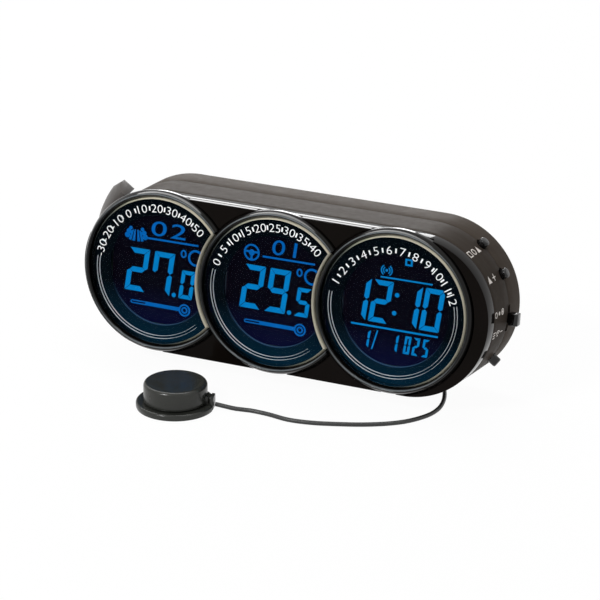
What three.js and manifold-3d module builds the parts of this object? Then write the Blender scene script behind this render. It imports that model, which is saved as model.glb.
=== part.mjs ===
// Radio-controlled clock with three dials, an outside temperature sensor on a thin lead, and a tilting stand.
// Millimetres, +Z up, front towards -Y. The origin is under the middle of the clock, on the surface it stands on.
// The case is drawn upright in its own frame: x along the row of dials, y back from the dial print, z up.

import * as THREE from 'three';
import { mergeVertices } from 'three/addons/utils/BufferGeometryUtils.js';
import Module from 'manifold-3d';

const wasm = await Module();
wasm.setup();

// Driving dimensions of the case
const leftReach = 0.3;
const rightReach = 4;
const middleDrop = 0.44;
const rimOverlap = 10.6;
const caseRadius = 22.9;
const partingDepth = 17;
const caseBack = 26.4;
const caseWall = 1.6;
const backBevel = 1;
const leanAngle = 6.92;
const standClear = 4.8;
const gap = 0.3;
const past = 5;
const wellPast = 300;

// Dials
const rimInset = 0.1;
const rimWidth = 2.2;
const crestHalf = 0.35;
const crestShift = 0.25;
const rimProud = 0.8;
const rimBack = 2.5;
const panelFace = 0.9;
const panelThick = 1.4;
const panelRound = 1.9;
const skirtBack = 5.3;
const skirtWall = 1.3;
const lipWall = 1.3;
const lipDepth = 2;
const lensThick = 1.5;
const lensBevel = 0.45;
const ringThick = 0.7;
const windowMargin = 5.1;
const ledgeThick = 1.1;
const ledgeMargin = 2;
const glassThick = 2;
const guideThick = 2.4;
const guideShort = 5.1;
const stripThick = 1.8;
const stripInset = 0.5;
const stripShort = 2;
const ledSize = 1.6;

// Boards
const boardThick = 1.2;
const boardMargin = 0.9;
const chipSize = 9;
const chipThick = 1.2;
const chipMargin = 2.4;
const keyBoardThick = 1.2;
const keyBoardWidth = 5;
const keyBoardDrop = 12.2;
const switchBody = 5.6;
const switchDepth = 3.4;
const plungerRadius = 1.6;
const plungerLength = 0.9;
const slideBody = 10;
const slideDepth = 3.4;
const slideHeight = 5;
const slideInset = 1.8;

// Buttons on the right end, placed by their angle above the middle line
const modeAngle = 53;
const upAngle = 28.5;
const setAngle = -34;
const buttonRadius = 1.4;
const buttonProud = 1.7;
const setProud = 2.3;
const buttonTip = 0.4;
const buttonRound = 0.3;
const buttonCollar = 2.2;
const collarThick = 0.9;
const buttonTravel = 0.5;
const knobHeight = 3.4;
const knobWidth = 2.6;
const knobProud = 3;
const knobStem = 1.2;
const stemShort = 0.6;
const stemReach = 1.5;
const stemSunk = 0.5;
const knobDrop = 1.1;
const knobTravel = 2.2;

// Power
const cellRadius = 5.25;
const cellLength = 44.5;
const cellNub = 0.8;
const cellMiddle = -2;
const bayWall = 1.1;
const contactThick = 0.5;
const contactHalf = 4;
const bumpRadius = 2.4;
const contactSpring = 1.4;
const doorThick = 1.3;
const doorLip = 0.9;

// Aerial
const ferriteRadius = 3.4;
const ferriteLength = 32;
const ferriteInset = 2.7;
const windingThick = 0.9;
const windingLength = 15;
const receiverReach = 10;
const receiverWidth = 16.5;
const receiverHeight = 28;
const receiverThick = 1;
const thermistorInset = 6.1;
const thermistorDrop = -6;
const thermistorLength = 4;

// Screws and gland
const bossInset = 2.4;
const bossRadius = 2.3;
const screwRadius = 0.9;
const screwHead = 1.8;
const screwHeadThick = 1.1;
const screwSlotHalf = 1.2;
const screwSlotWidth = 0.5;
const screwSlotDeep = 0.4;
const screwReach = 5;
const glandAlong = 1;
const glandLow = 10.9;
const glandSunk = 3;
const glandRadius = 2;
const glandProud = 2.4;

// Stand
const armClear = 1.8;
const armFrontThick = 0.8;
const armMiddleThick = 3.1;
const armRearThick = 4.3;
const armWidth = 6;
const armMiddleShare = 0.45;
const armFront = 14;
const armTop = 133;
const armBottom = 252;
const armCorner = 138;
const armCornerThick = 3.2;
const armCornerSlant = 25.5;
const pinRadius = 1.8;
const pinHead = 3;
const pinHeadThick = 1.1;
const pinSeat = 1.2;
const pinNut = 3.4;
const nutThick = 3;
const washerRadius = 4.2;
const washerThick = 0.7;
const plateThick = 1;
const footThick = 0.4;
const footInset = 0.8;
const plateAhead = 3.5;
const plateBehind = 19.3;
const plateCorner = 4;
const frontStrip = 5;
const sideStrip = 9;
const armStrip = 19;
const cornerAcross = 19;
const cornerBack = 13.5;
const rearStrip = 6;
const shoeInset = 7;
const shoeBehind = 4;
const shoeLength = 10;
const shoeDepth = 12;
const shoeHeight = 1.5;

// Outside sensor
const sensorX = -17.8;
const sensorY = -23.7;
const sensorCapRadius = 8.67;
const sensorLedge = 2.08;
const sensorRound = 1.4;
const sensorHeight = 7.25;
const sensorBaseThick = 1.8;
const sensorWall = 1.1;
const sensorExitAngle = 14;
const clampWidth = 3.4;
const clampTop = 4;
const clampInset = 0.1;
const clampOutlet = 1.5;
const beadRadius = 1.3;

// Lead
const leadDiameter = 1.2;
const leadSides = 8;
const leadStep = 3.6;
const coilX = 12;
const coilY = 63;
const coilInner = 2.9;
const coilPitch = 1.86;
const coilLoops = 5;
const coilLayers = 4;
const coilSteps = 24;
const coilSides = 6;
const coilLift = 0.9;
const tieThick = 0.6;
const tieWidth = 1.6;

// Derived places
const turn = Math.PI / 180;
const dialPitch = (caseRadius - rimInset) * 2 - rimOverlap;
const leftEnd = -dialPitch - leftReach;
const rightEnd = dialPitch + rightReach;
const dials = [
  { name: 'left', x: -dialPitch, z: 0 },
  { name: 'middle', x: 0, z: -middleDrop },
  { name: 'right', x: dialPitch, z: 0 },
];
const inside = caseRadius - caseWall;
const rimOuter = caseRadius - rimInset;
const rimInner = rimOuter - rimWidth;
const windowRadius = rimInner - windowMargin;
const ledgeRadius = rimInner - ledgeMargin;
const glassSide = 2 * (windowRadius + gap);
const boardRadius = inside - boardMargin;
const bossPlace = dialPitch / 2;
const bossHeight = inside - bossInset;
const glandPlace = rightEnd + glandAlong;
const glandHeight = glandLow - caseRadius;
const ferritePlace = leftEnd - ferriteInset;
const thermistorPlace = leftEnd - inside + thermistorInset;
const lipOuter = caseRadius - skirtWall - gap;
const lipInner = lipOuter - lipWall;
const ringFront = lensThick + gap;
const ledgeFront = ringFront + ringThick + gap;
const glassFront = ledgeFront + ledgeThick + gap;
const guideFront = glassFront + glassThick + gap;
const boardFront = guideFront + guideThick + gap;
const boardBack = boardFront + boardThick;
const keyBoardFront = boardBack + gap;
const keyBoardBack = keyBoardFront + keyBoardThick;
const bayFront = boardBack + gap;
const bayHalf = 2 * cellRadius + gap * 1.5;
const bayLeft = cellMiddle - cellLength / 2 - contactThick - contactSpring - gap * 2;
const bayRight = cellMiddle + cellLength / 2 + contactThick + contactSpring + gap * 2;
const cellDepth = bayFront + bayWall + gap + cellRadius;
const receiverFront = boardBack + gap;
const ferriteDepth = receiverFront + receiverThick + gap + ferriteRadius + windingThick;
const lean = leanAngle * turn;
const pivotY = partingDepth * Math.cos(lean);
const pivotZ = -partingDepth * Math.sin(lean);
const ground = -caseRadius - standClear;
const armInner = caseRadius + armClear;
const armFrontRadius = armInner + armFrontThick;
const armMiddleRadius = armInner + armMiddleThick;
const armRearRadius = armInner + armRearThick;
const plateLeft = leftEnd - armInner;
const plateRight = dialPitch;
const plateFront = armFront - plateAhead;
const plateBack = caseBack + plateBehind;
const shoeLeft = plateLeft + shoeInset;
const shoeFront = armFront + shoeBehind;
const sensorFlange = sensorCapRadius + sensorLedge;
const clampReach = sensorFlange - clampInset;
const plateBottom = ground + footThick;
const plateTop = plateBottom + plateThick;

// Colours from the photograph
function finish(color, roughness, metalness = 0) {
  return new THREE.MeshStandardMaterial({ color, roughness, metalness });
}
const gloss = finish(0x17120f, 0.15);
const satin = finish(0x4a4340, 0.5);
const rearGrey = finish(0x6e6864, 0.5);
const tint = finish(0x1c2630, 0.05);
const printBlack = finish(0x0b0a0a, 0.5);
const displayBlue = finish(0x0a3a66, 0.3);
const milk = finish(0xdde4ea, 0.4);
const boardGreen = finish(0x1f5a34, 0.5);
const partBlack = finish(0x151515, 0.5);
const steel = finish(0xb8b8b8, 0.3, 1);
const ferrite = finish(0x2b2b2d, 0.7);
const copper = finish(0xb06a35, 0.4, 1);
const cellSkin = finish(0x3b6b45, 0.4);
const rubber = finish(0x111111, 0.9);
const sensorGreen = finish(0x10150f, 0.25);
const leadSkin = finish(0x141414, 0.55);

// Geometry helpers
function positionsOnly(geometry) {
  const plain = geometry.index ? geometry.toNonIndexed() : geometry.clone();
  for (const name of Object.keys(plain.attributes)) {
    if (name !== 'position') plain.deleteAttribute(name);
  }
  plain.clearGroups();
  return mergeVertices(plain, 1e-4);
}

function signedVolume(geometry) {
  const p = geometry.attributes.position;
  const at = geometry.index.array;
  const corner = [new THREE.Vector3(), new THREE.Vector3(), new THREE.Vector3()];
  let sum = 0;
  for (let i = 0; i < at.length; i += 3) {
    corner.forEach((v, k) => v.fromBufferAttribute(p, at[i + k]));
    sum += corner[0].dot(corner[1].clone().cross(corner[2]));
  }
  return sum / 6;
}

function outward(geometry) {
  const merged = positionsOnly(geometry);
  if (signedVolume(merged) < 0) {
    const at = merged.index.array;
    for (let i = 0; i < at.length; i += 3) [at[i], at[i + 1]] = [at[i + 1], at[i]];
  }
  return merged;
}

function solid(geometry) {
  const g = outward(geometry);
  return new wasm.Manifold(new wasm.Mesh({
    numProp: 3,
    vertProperties: new Float32Array(g.attributes.position.array),
    triVerts: new Uint32Array(g.index.array),
  }));
}

function join(...solids) {
  return solids.reduce((sum, next) => sum.add(next));
}

function cut(body, ...tools) {
  return tools.reduce((rest, tool) => rest.subtract(tool), body);
}

function geometryOf(body) {
  const m = body.getMesh();
  const g = new THREE.BufferGeometry();
  g.setAttribute('position', new THREE.BufferAttribute(new Float32Array(m.vertProperties), 3));
  g.setIndex(new THREE.BufferAttribute(new Uint32Array(m.triVerts), 1));
  const flat = g.toNonIndexed();
  flat.computeVertexNormals();
  return flat;
}

// Outlines in the plane of the dials
function circle(x, z, r) {
  const s = new THREE.Shape();
  s.absarc(x, z, r, 0, 2 * Math.PI, false);
  return s;
}

function caseOutline(r) {
  const s = new THREE.Shape();
  s.moveTo(leftEnd, -r);
  s.lineTo(rightEnd, -r);
  s.absarc(rightEnd, 0, r, -Math.PI / 2, Math.PI / 2, false);
  s.lineTo(leftEnd, r);
  s.absarc(leftEnd, 0, r, Math.PI / 2, 1.5 * Math.PI, false);
  return s;
}

function roundedBox(x0, x1, z0, z1, r) {
  const s = new THREE.Shape();
  s.moveTo(x0 + r, z0);
  s.lineTo(x1 - r, z0);
  s.absarc(x1 - r, z0 + r, r, -Math.PI / 2, 0, false);
  s.lineTo(x1, z1 - r);
  s.absarc(x1 - r, z1 - r, r, 0, Math.PI / 2, false);
  s.lineTo(x0 + r, z1);
  s.absarc(x0 + r, z1 - r, r, Math.PI / 2, Math.PI, false);
  s.lineTo(x0, z0 + r);
  s.absarc(x0 + r, z0 + r, r, Math.PI, 1.5 * Math.PI, false);
  return s;
}

// A plate of an outline between two depths
function plate(shape, y0, y1, segments = 11) {
  const g = new THREE.ExtrudeGeometry(shape, { depth: y1 - y0, bevelEnabled: false, curveSegments: segments });
  return solid(g.rotateX(Math.PI / 2).translate(0, y1, 0));
}

function block(x0, x1, y0, y1, z0, z1) {
  const g = new THREE.BoxGeometry(x1 - x0, y1 - y0, z1 - z0);
  return solid(g.translate((x0 + x1) / 2, (y0 + y1) / 2, (z0 + z1) / 2));
}

function discY(x, z, r, y0, y1, sides = 24) {
  return solid(new THREE.CylinderGeometry(r, r, y1 - y0, sides).translate(x, (y0 + y1) / 2, z));
}

function rodX(y, z, r, x0, x1, sides = 18) {
  const g = new THREE.CylinderGeometry(r, r, x1 - x0, sides).rotateZ(Math.PI / 2);
  return solid(g.translate((x0 + x1) / 2, y, z));
}

function rodZ(x, y, r, z0, z1, sides = 20) {
  const g = new THREE.CylinderGeometry(r, r, z1 - z0, sides).rotateX(Math.PI / 2);
  return solid(g.translate(x, y, (z0 + z1) / 2));
}

// A body turned about the y axis through (x, z) from a closed list of [radius, depth] points
function turned(x, z, points, sides = 40) {
  const profile = [...points, points[0]].map(([r, y]) => new THREE.Vector2(r, y));
  return solid(new THREE.LatheGeometry(profile, sides).translate(x, 0, z));
}

// A body drawn along +X from the right end's middle, swung to an angle on that end
function onRightEnd(body, angle) {
  return body.rotate([0, -angle, 0]).translate([rightEnd, 0, 0]);
}

const head = new THREE.Group();
const floor = new THREE.Group();
const root = new THREE.Group();

function add(group, name, body, material) {
  const mesh = new THREE.Mesh(body.isBufferGeometry ? body : geometryOf(body), material);
  mesh.name = name;
  group.add(mesh);
}

// Case
function bosses(y0, y1, r) {
  return [-1, 1].flatMap((sx) => [-1, 1].map((sz) => discY(sx * bossPlace, sz * bossHeight, r, y0, y1, 12)));
}

function endHoles() {
  const far = caseRadius * 2;
  const hole = (angle) => onRightEnd(rodX(partingDepth, 0, buttonRadius + gap, inside - caseWall, far), angle);
  const slotHalf = knobHeight / 2 + knobTravel + gap;
  const middle = -knobDrop;
  return [
    hole(modeAngle),
    hole(upAngle),
    hole(setAngle),
    block(rightEnd, rightEnd + far, partingDepth - knobStem / 2 - gap, partingDepth + knobStem / 2 + gap,
      middle - slotHalf + stemShort, middle + slotHalf - stemShort),
    rodX(partingDepth, 0, pinRadius + gap, leftEnd - far, leftEnd - inside + caseWall),
  ];
}

// The satin wall carries a narrower lip in front, which the glossy bezel's skirt goes round
function frontShell() {
  const wallFront = skirtBack + gap;
  const side = cut(
    join(
      plate(caseOutline(caseRadius), wallFront, partingDepth - gap / 2),
      plate(caseOutline(lipOuter), ledgeFront, wallFront + lipDepth),
    ),
    plate(caseOutline(inside), wallFront + lipDepth, partingDepth + past),
    plate(caseOutline(lipInner), ledgeFront - past, partingDepth + past),
  );
  let ledge = plate(caseOutline(lipInner + gap), ledgeFront, ledgeFront + ledgeThick);
  for (const d of dials) ledge = ledge.subtract(plate(circle(d.x, d.z, ledgeRadius), 0, partingDepth));
  const posts = join(...bosses(ledgeFront + ledgeThick / 2, partingDepth - gap / 2, bossRadius));
  const bores = bosses(boardBack, partingDepth + past, screwRadius + gap);
  return cut(join(side, ledge, posts), ...bores, ...endHoles());
}

// An outline whose front edge is rounded
function roundedPlate(shape, y0, y1, round) {
  const g = new THREE.ExtrudeGeometry(shape, { depth: y1 - y0, bevelEnabled: true, bevelThickness: round,
    bevelSize: round, bevelOffset: -round, bevelSegments: 3, curveSegments: 11 });
  const body = solid(g.rotateX(Math.PI / 2).translate(0, y1 + round, 0));
  return body.subtract(block(-wellPast, wellPast, y1, y1 + wellPast, -wellPast, wellPast));
}

// The glossy bezel: a skirt, with flat infills and an end piece between and beside the rims
function frontPanel() {
  const outer = roundedPlate(caseOutline(caseRadius), panelFace, skirtBack, panelRound);
  const rims = dials.map((d) => plate(circle(d.x, d.z, rimOuter + gap), -past, rimBack + gap));
  const back = panelFace + panelThick;
  return cut(outer, ...rims, plate(caseOutline(caseRadius - skirtWall), back, skirtBack + past));
}

// Each rim is cut by the one that lies over it, on its right
function rim(index) {
  const d = dials[index];
  const crest = (rimOuter + rimInner) / 2;
  const ring = turned(d.x, d.z, [
    [rimInner, rimBack],
    [rimInner, -rimProud / 2],
    [crest - crestShift - crestHalf, -rimProud],
    [crest - crestShift + crestHalf, -rimProud],
    [rimOuter - rimProud / 2, -rimProud / 4],
    [rimOuter, panelFace],
    [rimOuter, rimBack],
  ]);
  return coveredBy(index, ring);
}

function coveredBy(index, body) {
  const over = dials[index + 1];
  return over ? body.subtract(plate(circle(over.x, over.z, rimOuter + gap), -past, ledgeFront)) : body;
}

function lens(index) {
  const d = dials[index];
  const r = rimInner - gap;
  const disc = turned(d.x, d.z, [[0, 0], [r - lensBevel, 0], [r, lensBevel], [r, lensThick], [0, lensThick]]);
  return coveredBy(index, disc);
}

function dialRing(index) {
  const d = dials[index];
  const disc = plate(circle(d.x, d.z, rimInner - gap), ringFront, ringFront + ringThick);
  return coveredBy(index, disc.subtract(plate(circle(d.x, d.z, windowRadius), 0, ledgeFront)));
}

// The displays' outer corners are clipped to the round ends of the case
function withinCase(body) {
  return body.intersect(plate(caseOutline(lipInner - gap), 0, caseBack));
}

function displayGlass(d) {
  return withinCase(block(d.x - glassSide / 2, d.x + glassSide / 2, glassFront, glassFront + glassThick,
    d.z - glassSide / 2, d.z + glassSide / 2));
}

// One clear plate lights all three displays from an LED at each end
const guideHalf = dialPitch + glassSide / 2 - ledSize - gap;
function lightGuide() {
  const top = glassSide / 2 - middleDrop;
  return withinCase(block(-guideHalf, guideHalf, guideFront, guideFront + guideThick, top - glassSide + guideShort, top));
}

function backLed(side) {
  const middle = side * (guideHalf + gap + ledSize / 2);
  return block(middle - ledSize / 2, middle + ledSize / 2, guideFront, boardFront - gap, -ledSize, ledSize);
}

function contactStrip(d) {
  const low = d.z - glassSide / 2 + stripInset;
  return withinCase(block(d.x - glassSide / 2 + stripShort, d.x + glassSide / 2 - stripShort,
    guideFront, boardFront - gap, low, low + stripThick));
}

function mainBoard() {
  const body = plate(caseOutline(boardRadius), boardFront, boardBack);
  return cut(body, ...bosses(boardFront - past, boardBack + past, bossRadius + gap));
}

function clockChip() {
  const x = rightEnd - chipSize;
  const front = boardBack + gap / 2;
  const low = chipMargin - boardRadius;
  return block(x, x + chipSize, front, front + chipThick, low, low + chipSize / 2);
}

function keyBoard() {
  const outer = plate(circle(rightEnd, 0, boardRadius), keyBoardFront, keyBoardBack);
  const right = block(rightEnd - keyBoardWidth, rightEnd + caseRadius, keyBoardFront - past, keyBoardBack + past,
    -keyBoardDrop, caseRadius);
  return outer.intersect(right);
}

const switchFace = inside - gap - collarThick - buttonTravel - gap;
function keySwitch(angle) {
  const face = switchFace - plungerLength;
  const body = block(face - switchDepth, face, keyBoardBack + gap, keyBoardBack + gap + switchBody,
    -switchBody / 2, switchBody / 2);
  return onRightEnd(body.add(rodX(partingDepth, 0, plungerRadius, face - plungerLength, switchFace, 16)), angle);
}

function slideSwitch() {
  const face = rightEnd + inside - slideInset;
  return block(face - slideDepth, face, keyBoardBack + gap, keyBoardBack + gap + slideHeight,
    -knobDrop - slideBody / 2, -knobDrop + slideBody / 2);
}

function button(angle, proud) {
  const collar = inside - gap - collarThick;
  const cap = rodX(partingDepth, 0, buttonRadius, collar, caseRadius + proud - buttonTip, 16);
  const tip = rodX(partingDepth, 0, buttonRadius - buttonRound, collar, caseRadius + proud, 16);
  return onRightEnd(join(cap, tip, rodX(partingDepth, 0, buttonCollar, collar, collar + collarThick, 16)), angle);
}

function slideKnob() {
  const y = partingDepth;
  const z = -knobDrop;
  const face = rightEnd + caseRadius;
  const stemIn = rightEnd + inside - stemReach;
  const stemHalf = knobHeight / 2 - stemShort;
  return join(
    block(face + gap, face + knobProud, y - knobWidth / 2, y + knobWidth / 2, z - knobHeight / 2, z + knobHeight / 2),
    block(stemIn, face + gap + stemSunk, y - knobStem / 2, y + knobStem / 2, z - stemHalf, z + stemHalf),
  );
}

// Rear cover with the battery bay
const doorHalf = bayHalf + gap;
function backShell() {
  const start = partingDepth + gap / 2;
  const outer = join(
    plate(caseOutline(caseRadius), start, caseBack - backBevel),
    plate(caseOutline(caseRadius - backBevel / 2), start, caseBack - backBevel / 2),
    plate(caseOutline(caseRadius - backBevel), start, caseBack),
  );
  const skin = outer.subtract(plate(caseOutline(inside), start - past, caseBack - caseWall));
  const bay = cut(
    block(bayLeft - bayWall, bayRight + bayWall, bayFront, caseBack - caseWall / 2, -bayHalf - bayWall, bayHalf + bayWall),
    block(bayLeft, bayRight, bayFront + bayWall, caseBack + past, -bayHalf, bayHalf),
  );
  const doorway = block(bayLeft + doorLip, bayRight - doorLip, caseBack - caseWall - gap, caseBack + past,
    -bayHalf, bayHalf);
  const seats = bosses(partingDepth + gap, caseBack - caseWall / 2, bossRadius);
  const shafts = bosses(partingDepth, caseBack + past, screwRadius + gap);
  const sinks = bosses(caseBack - screwHeadThick - gap, caseBack + past, screwHead + gap);
  const gland = discY(glandPlace, glandHeight, glandRadius + gap, caseBack - past, caseBack + past);
  return cut(join(skin, bay, ...seats), doorway, ...shafts, ...sinks, gland, ...endHoles());
}

function batteryDoor() {
  return block(bayLeft + doorLip + gap, bayRight - doorLip - gap, caseBack - doorThick, caseBack,
    -bayHalf + gap, bayHalf - gap);
}

function cell(side) {
  const z = side * (cellRadius + gap / 2);
  const body = rodX(cellDepth, z, cellRadius, cellMiddle - cellLength / 2, cellMiddle + cellLength / 2 - cellNub, 28);
  const end = cellMiddle + cellLength / 2;
  const nub = rodX(cellDepth, z, cellRadius / 3, end - cellNub * 2, end, 16);
  const joined = body.add(nub);
  return side > 0 ? joined : joined.translate([-cellMiddle, 0, 0]).mirror([1, 0, 0]).translate([cellMiddle, 0, 0]);
}

function contact(sideX) {
  const wallX = sideX < 0 ? bayLeft + gap : bayRight - gap;
  const inner = wallX - sideX * contactThick;
  const tip = inner - sideX * contactSpring;
  const strip = block(Math.min(wallX, inner), Math.max(wallX, inner), cellDepth - contactHalf, cellDepth + contactHalf,
    -bayHalf + gap, bayHalf - gap);
  const bumps = [-1, 1].map((s) => rodX(cellDepth, s * (cellRadius + gap / 2), bumpRadius,
    Math.min(tip, inner), Math.max(tip, inner), 16));
  return join(strip, ...bumps);
}

function caseScrew(sx, sz) {
  const x = sx * bossPlace;
  const z = sz * bossHeight;
  const button = discY(x, z, screwHead, caseBack - screwHeadThick, caseBack, 16);
  const slot = block(x - screwSlotHalf, x + screwSlotHalf, caseBack - screwSlotDeep, caseBack + past,
    z - screwSlotWidth / 2, z + screwSlotWidth / 2);
  const shaft = discY(x, z, screwRadius, partingDepth - screwReach, caseBack - screwHeadThick / 2, 12);
  return button.subtract(slot).add(shaft);
}

function receiverBoard() {
  const x = ferritePlace - receiverReach;
  return block(x, x + receiverWidth, receiverFront,
    receiverFront + receiverThick, -receiverHeight / 2, receiverHeight / 2);
}

function aerialWinding() {
  const half = windingLength / 2;
  const outer = rodZ(ferritePlace, ferriteDepth, ferriteRadius + windingThick, -half, half, 28);
  return outer.subtract(rodZ(ferritePlace, ferriteDepth, ferriteRadius + gap / 2, -half - past, half + past, 28));
}

function roomThermistor() {
  const z = thermistorDrop;
  return rodZ(thermistorPlace, boardBack + gap + beadRadius, beadRadius, z - thermistorLength, z, 12);
}

function cableGland() {
  return discY(glandPlace, glandHeight, glandRadius, caseBack - glandSunk, caseBack + glandProud, 20);
}

// Stand, upright on the floor
function standArm() {
  const ring = turned(leftEnd, pivotZ, [
    [armInner, armFront],
    [armFrontRadius, armFront],
    [armMiddleRadius, armFront + armWidth * armMiddleShare],
    [armRearRadius, armFront + armWidth],
    [armInner, armFront + armWidth],
  ], 60);
  const reach = armRearRadius * 1.6;
  const sector = new THREE.Shape();
  const from = armTop * turn;
  const steps = 8;
  sector.moveTo(leftEnd, pivotZ);
  for (let i = 0; i <= steps; i++) {
    const a = from + (armBottom - armTop) * turn * i / steps;
    sector.lineTo(leftEnd + reach * Math.cos(a), pivotZ + reach * Math.sin(a));
  }
  let arm = ring.intersect(plate(sector, armFront - past, armFront + armWidth + past));
  const tipRadius = armInner + armCornerThick;
  const tipX = leftEnd + tipRadius * Math.cos(armCorner * turn);
  const tipZ = pivotZ + tipRadius * Math.sin(armCorner * turn);
  const blade = solid(new THREE.BoxGeometry(reach, armWidth * 2, reach).translate(0, 0, reach / 2)
    .rotateY(-armCornerSlant * turn).translate(tipX, armFront + armWidth / 2, tipZ));
  arm = arm.subtract(blade);
  const shoe = block(shoeLeft, shoeLeft + shoeLength, shoeFront, shoeFront + shoeDepth, plateTop, plateTop + shoeHeight);
  const under = block(-wellPast, wellPast, -wellPast, wellPast, ground - wellPast, plateTop);
  const headRoom = leftEnd - armRearRadius - past;
  return cut(
    join(arm, shoe),
    under,
    rodX(pivotY, pivotZ, pinRadius + gap, headRoom, leftEnd - armInner + armClear),
    rodX(pivotY, pivotZ, pinHead + gap, headRoom, leftEnd - armInner - gap - pinSeat),
  );
}

// The plate's front left corner is cut off in front of the arm
function standPlate(inset, bottom, thick, segments) {
  const outer = roundedBox(plateLeft + inset, plateRight - inset, plateFront + inset, plateBack - inset,
    plateCorner - inset);
  outer.holes.push(roundedBox(plateLeft + armStrip - inset, plateRight - sideStrip + inset,
    plateFront + frontStrip - inset, plateBack - rearStrip + inset, plateCorner / 2));
  const g = new THREE.ExtrudeGeometry(outer, { depth: thick, bevelEnabled: false, curveSegments: segments });
  const corner = new THREE.BoxGeometry(cornerAcross * 3, cornerAcross * 2, thick * 3);
  corner.translate(0, inset - cornerAcross, 0).rotateZ(-Math.atan2(cornerBack, cornerAcross));
  corner.translate(plateLeft + cornerAcross / 2, plateFront + cornerBack / 2, thick / 2);
  return solid(g.translate(0, 0, bottom)).subtract(solid(corner.translate(0, 0, bottom)));
}

function standBase() {
  return standPlate(0, plateBottom, plateThick, 5);
}

function standFoot() {
  return standPlate(footInset, ground, footThick, 4);
}

function frictionWasher() {
  const near = leftEnd - caseRadius - gap;
  const far = near - washerThick;
  return rodX(pivotY, pivotZ, washerRadius, far, near, 24)
    .subtract(rodX(pivotY, pivotZ, pinRadius + gap, far - past, near + past));
}

function pivotPin() {
  const headFace = leftEnd - armInner - pinSeat;
  return join(
    rodX(partingDepth, 0, pinHead, headFace - gap - pinHeadThick, headFace - gap, 24),
    rodX(partingDepth, 0, pinRadius, headFace - gap * 2, leftEnd - inside + nutThick + gap, 24),
  );
}

function pivotNut() {
  const near = leftEnd - inside + gap * 2;
  return rodX(partingDepth, 0, pinNut, near, near + nutThick, 6)
    .subtract(rodX(partingDepth, 0, pinRadius + gap / 2, near - past, near + nutThick + past));
}

// Sensor on the floor
function capProfile(r, base, top, round) {
  return [[0, base], [r, base], [r, top - round], [r - round * 0.3, top - round * 0.3], [r - round, top], [0, top]];
}

function turnedUp(points, sides = 30) {
  const profile = [...points, points[0]].map(([r, z]) => new THREE.Vector2(r, z));
  const g = new THREE.LatheGeometry(profile, sides).rotateX(Math.PI / 2);
  return solid(g.translate(sensorX, sensorY, ground));
}

const capBase = sensorBaseThick + gap;
function clampBlock(grow) {
  const inner = sensorCapRadius - sensorWall * 2 - grow;
  const height = clampTop - gap + grow * 2;
  const box = new THREE.BoxGeometry(clampReach + grow - inner, clampWidth + grow * 2, height);
  box.translate((clampReach + grow + inner) / 2, 0, ground + gap - grow + height / 2);
  return solid(box.rotateZ(sensorExitAngle * turn).translate(sensorX, sensorY, 0));
}

function sensorCap() {
  const shell = turnedUp(capProfile(sensorCapRadius, capBase, sensorHeight, sensorRound));
  const hollow = turnedUp(capProfile(sensorCapRadius - sensorWall, capBase - sensorWall, sensorHeight - sensorWall,
    sensorRound / 2));
  return cut(shell, hollow, clampBlock(gap));
}

function sensorBase() {
  const top = sensorBaseThick;
  const round = sensorRound / 4;
  const disc = turnedUp([[0, 0], [sensorFlange - round, 0], [sensorFlange, round], [sensorFlange, top - round],
    [sensorFlange - round, top], [0, top]]);
  return disc.subtract(clampBlock(gap));
}

function sensorBead() {
  const g = new THREE.SphereGeometry(beadRadius, 12, 8);
  return solid(g.translate(sensorX, sensorY, ground + capBase + beadRadius));
}

// Lead. The routes lie on the floor and are chosen by eye from the photograph.
const floorLine = ground + leadDiameter / 2;
const exitY = (caseBack + glandProud + gap) * Math.cos(lean) + glandHeight * Math.sin(lean);
const exitZ = -(caseBack + glandProud + gap) * Math.sin(lean) + glandHeight * Math.cos(lean);
const coilOuter = coilInner + coilPitch * coilLoops;
const coilLow = ground + coilLift + leadDiameter / 2;
const coilHigh = coilLow + coilPitch * (coilLayers - 1);
const coilFrontY = coilY - coilOuter;
const coilBackY = coilY + coilOuter;

function caseRoute() {
  const dy = Math.cos(lean);
  const dz = -Math.sin(lean);
  return [
    [glandPlace, exitY, exitZ],
    [glandPlace, exitY + leadDiameter * dy, exitZ + leadDiameter * dz],
    [39.8, 33.5, -19.5],
    [39.3, 38.5, -23.5],
    [37.8, 43.5, -26.2],
    [34.5, 47.6, floorLine + 0.15],
    [29, 49.8, floorLine + 0.1],
    [22, 50.6, floorLine + 0.4],
    [coilX + leadDiameter + 2, coilFrontY, coilLow],
    [coilX + gap, coilFrontY, coilLow],
  ];
}

function sensorRoute() {
  const a = sensorExitAngle * turn;
  const r = clampReach + gap;
  const outX = sensorX + r * Math.cos(a);
  const outY = sensorY + r * Math.sin(a);
  const outZ = ground + clampOutlet;
  const step = leadDiameter;
  return [
    [coilX + gap, coilBackY, coilHigh],
    [coilX + gap + step, coilBackY, coilHigh],
    [19, 75.4, -23.6],
    [25, 75.2, -26.4],
    [31, 73.4, floorLine + 0.1],
    [36.5, 68.8, floorLine],
    [40, 62, floorLine],
    [41.6, 53, floorLine],
    [42.4, 43, floorLine],
    [42, 33, floorLine],
    [41.6, 26, floorLine],
    [42.4, 20.5, floorLine],
    [45.2, 14.2, floorLine],
    [46.9, 9, floorLine],
    [47.6, 4, floorLine],
    [47, -0.6, floorLine],
    [45.2, -4.6, floorLine],
    [42.6, -8.2, floorLine],
    [38.9, -11.4, floorLine],
    [33.3, -14.7, floorLine],
    [26.8, -17.4, floorLine],
    [20.3, -19.5, floorLine],
    [14, -20.3, floorLine],
    [7.6, -19.3, floorLine],
    [2.2, -19.1, floorLine],
    [-1.6, -20.1, floorLine + 0.2],
    [outX + step * Math.cos(a), outY + step * Math.sin(a), outZ - 0.2],
    [outX, outY, outZ],
  ];
}

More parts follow.
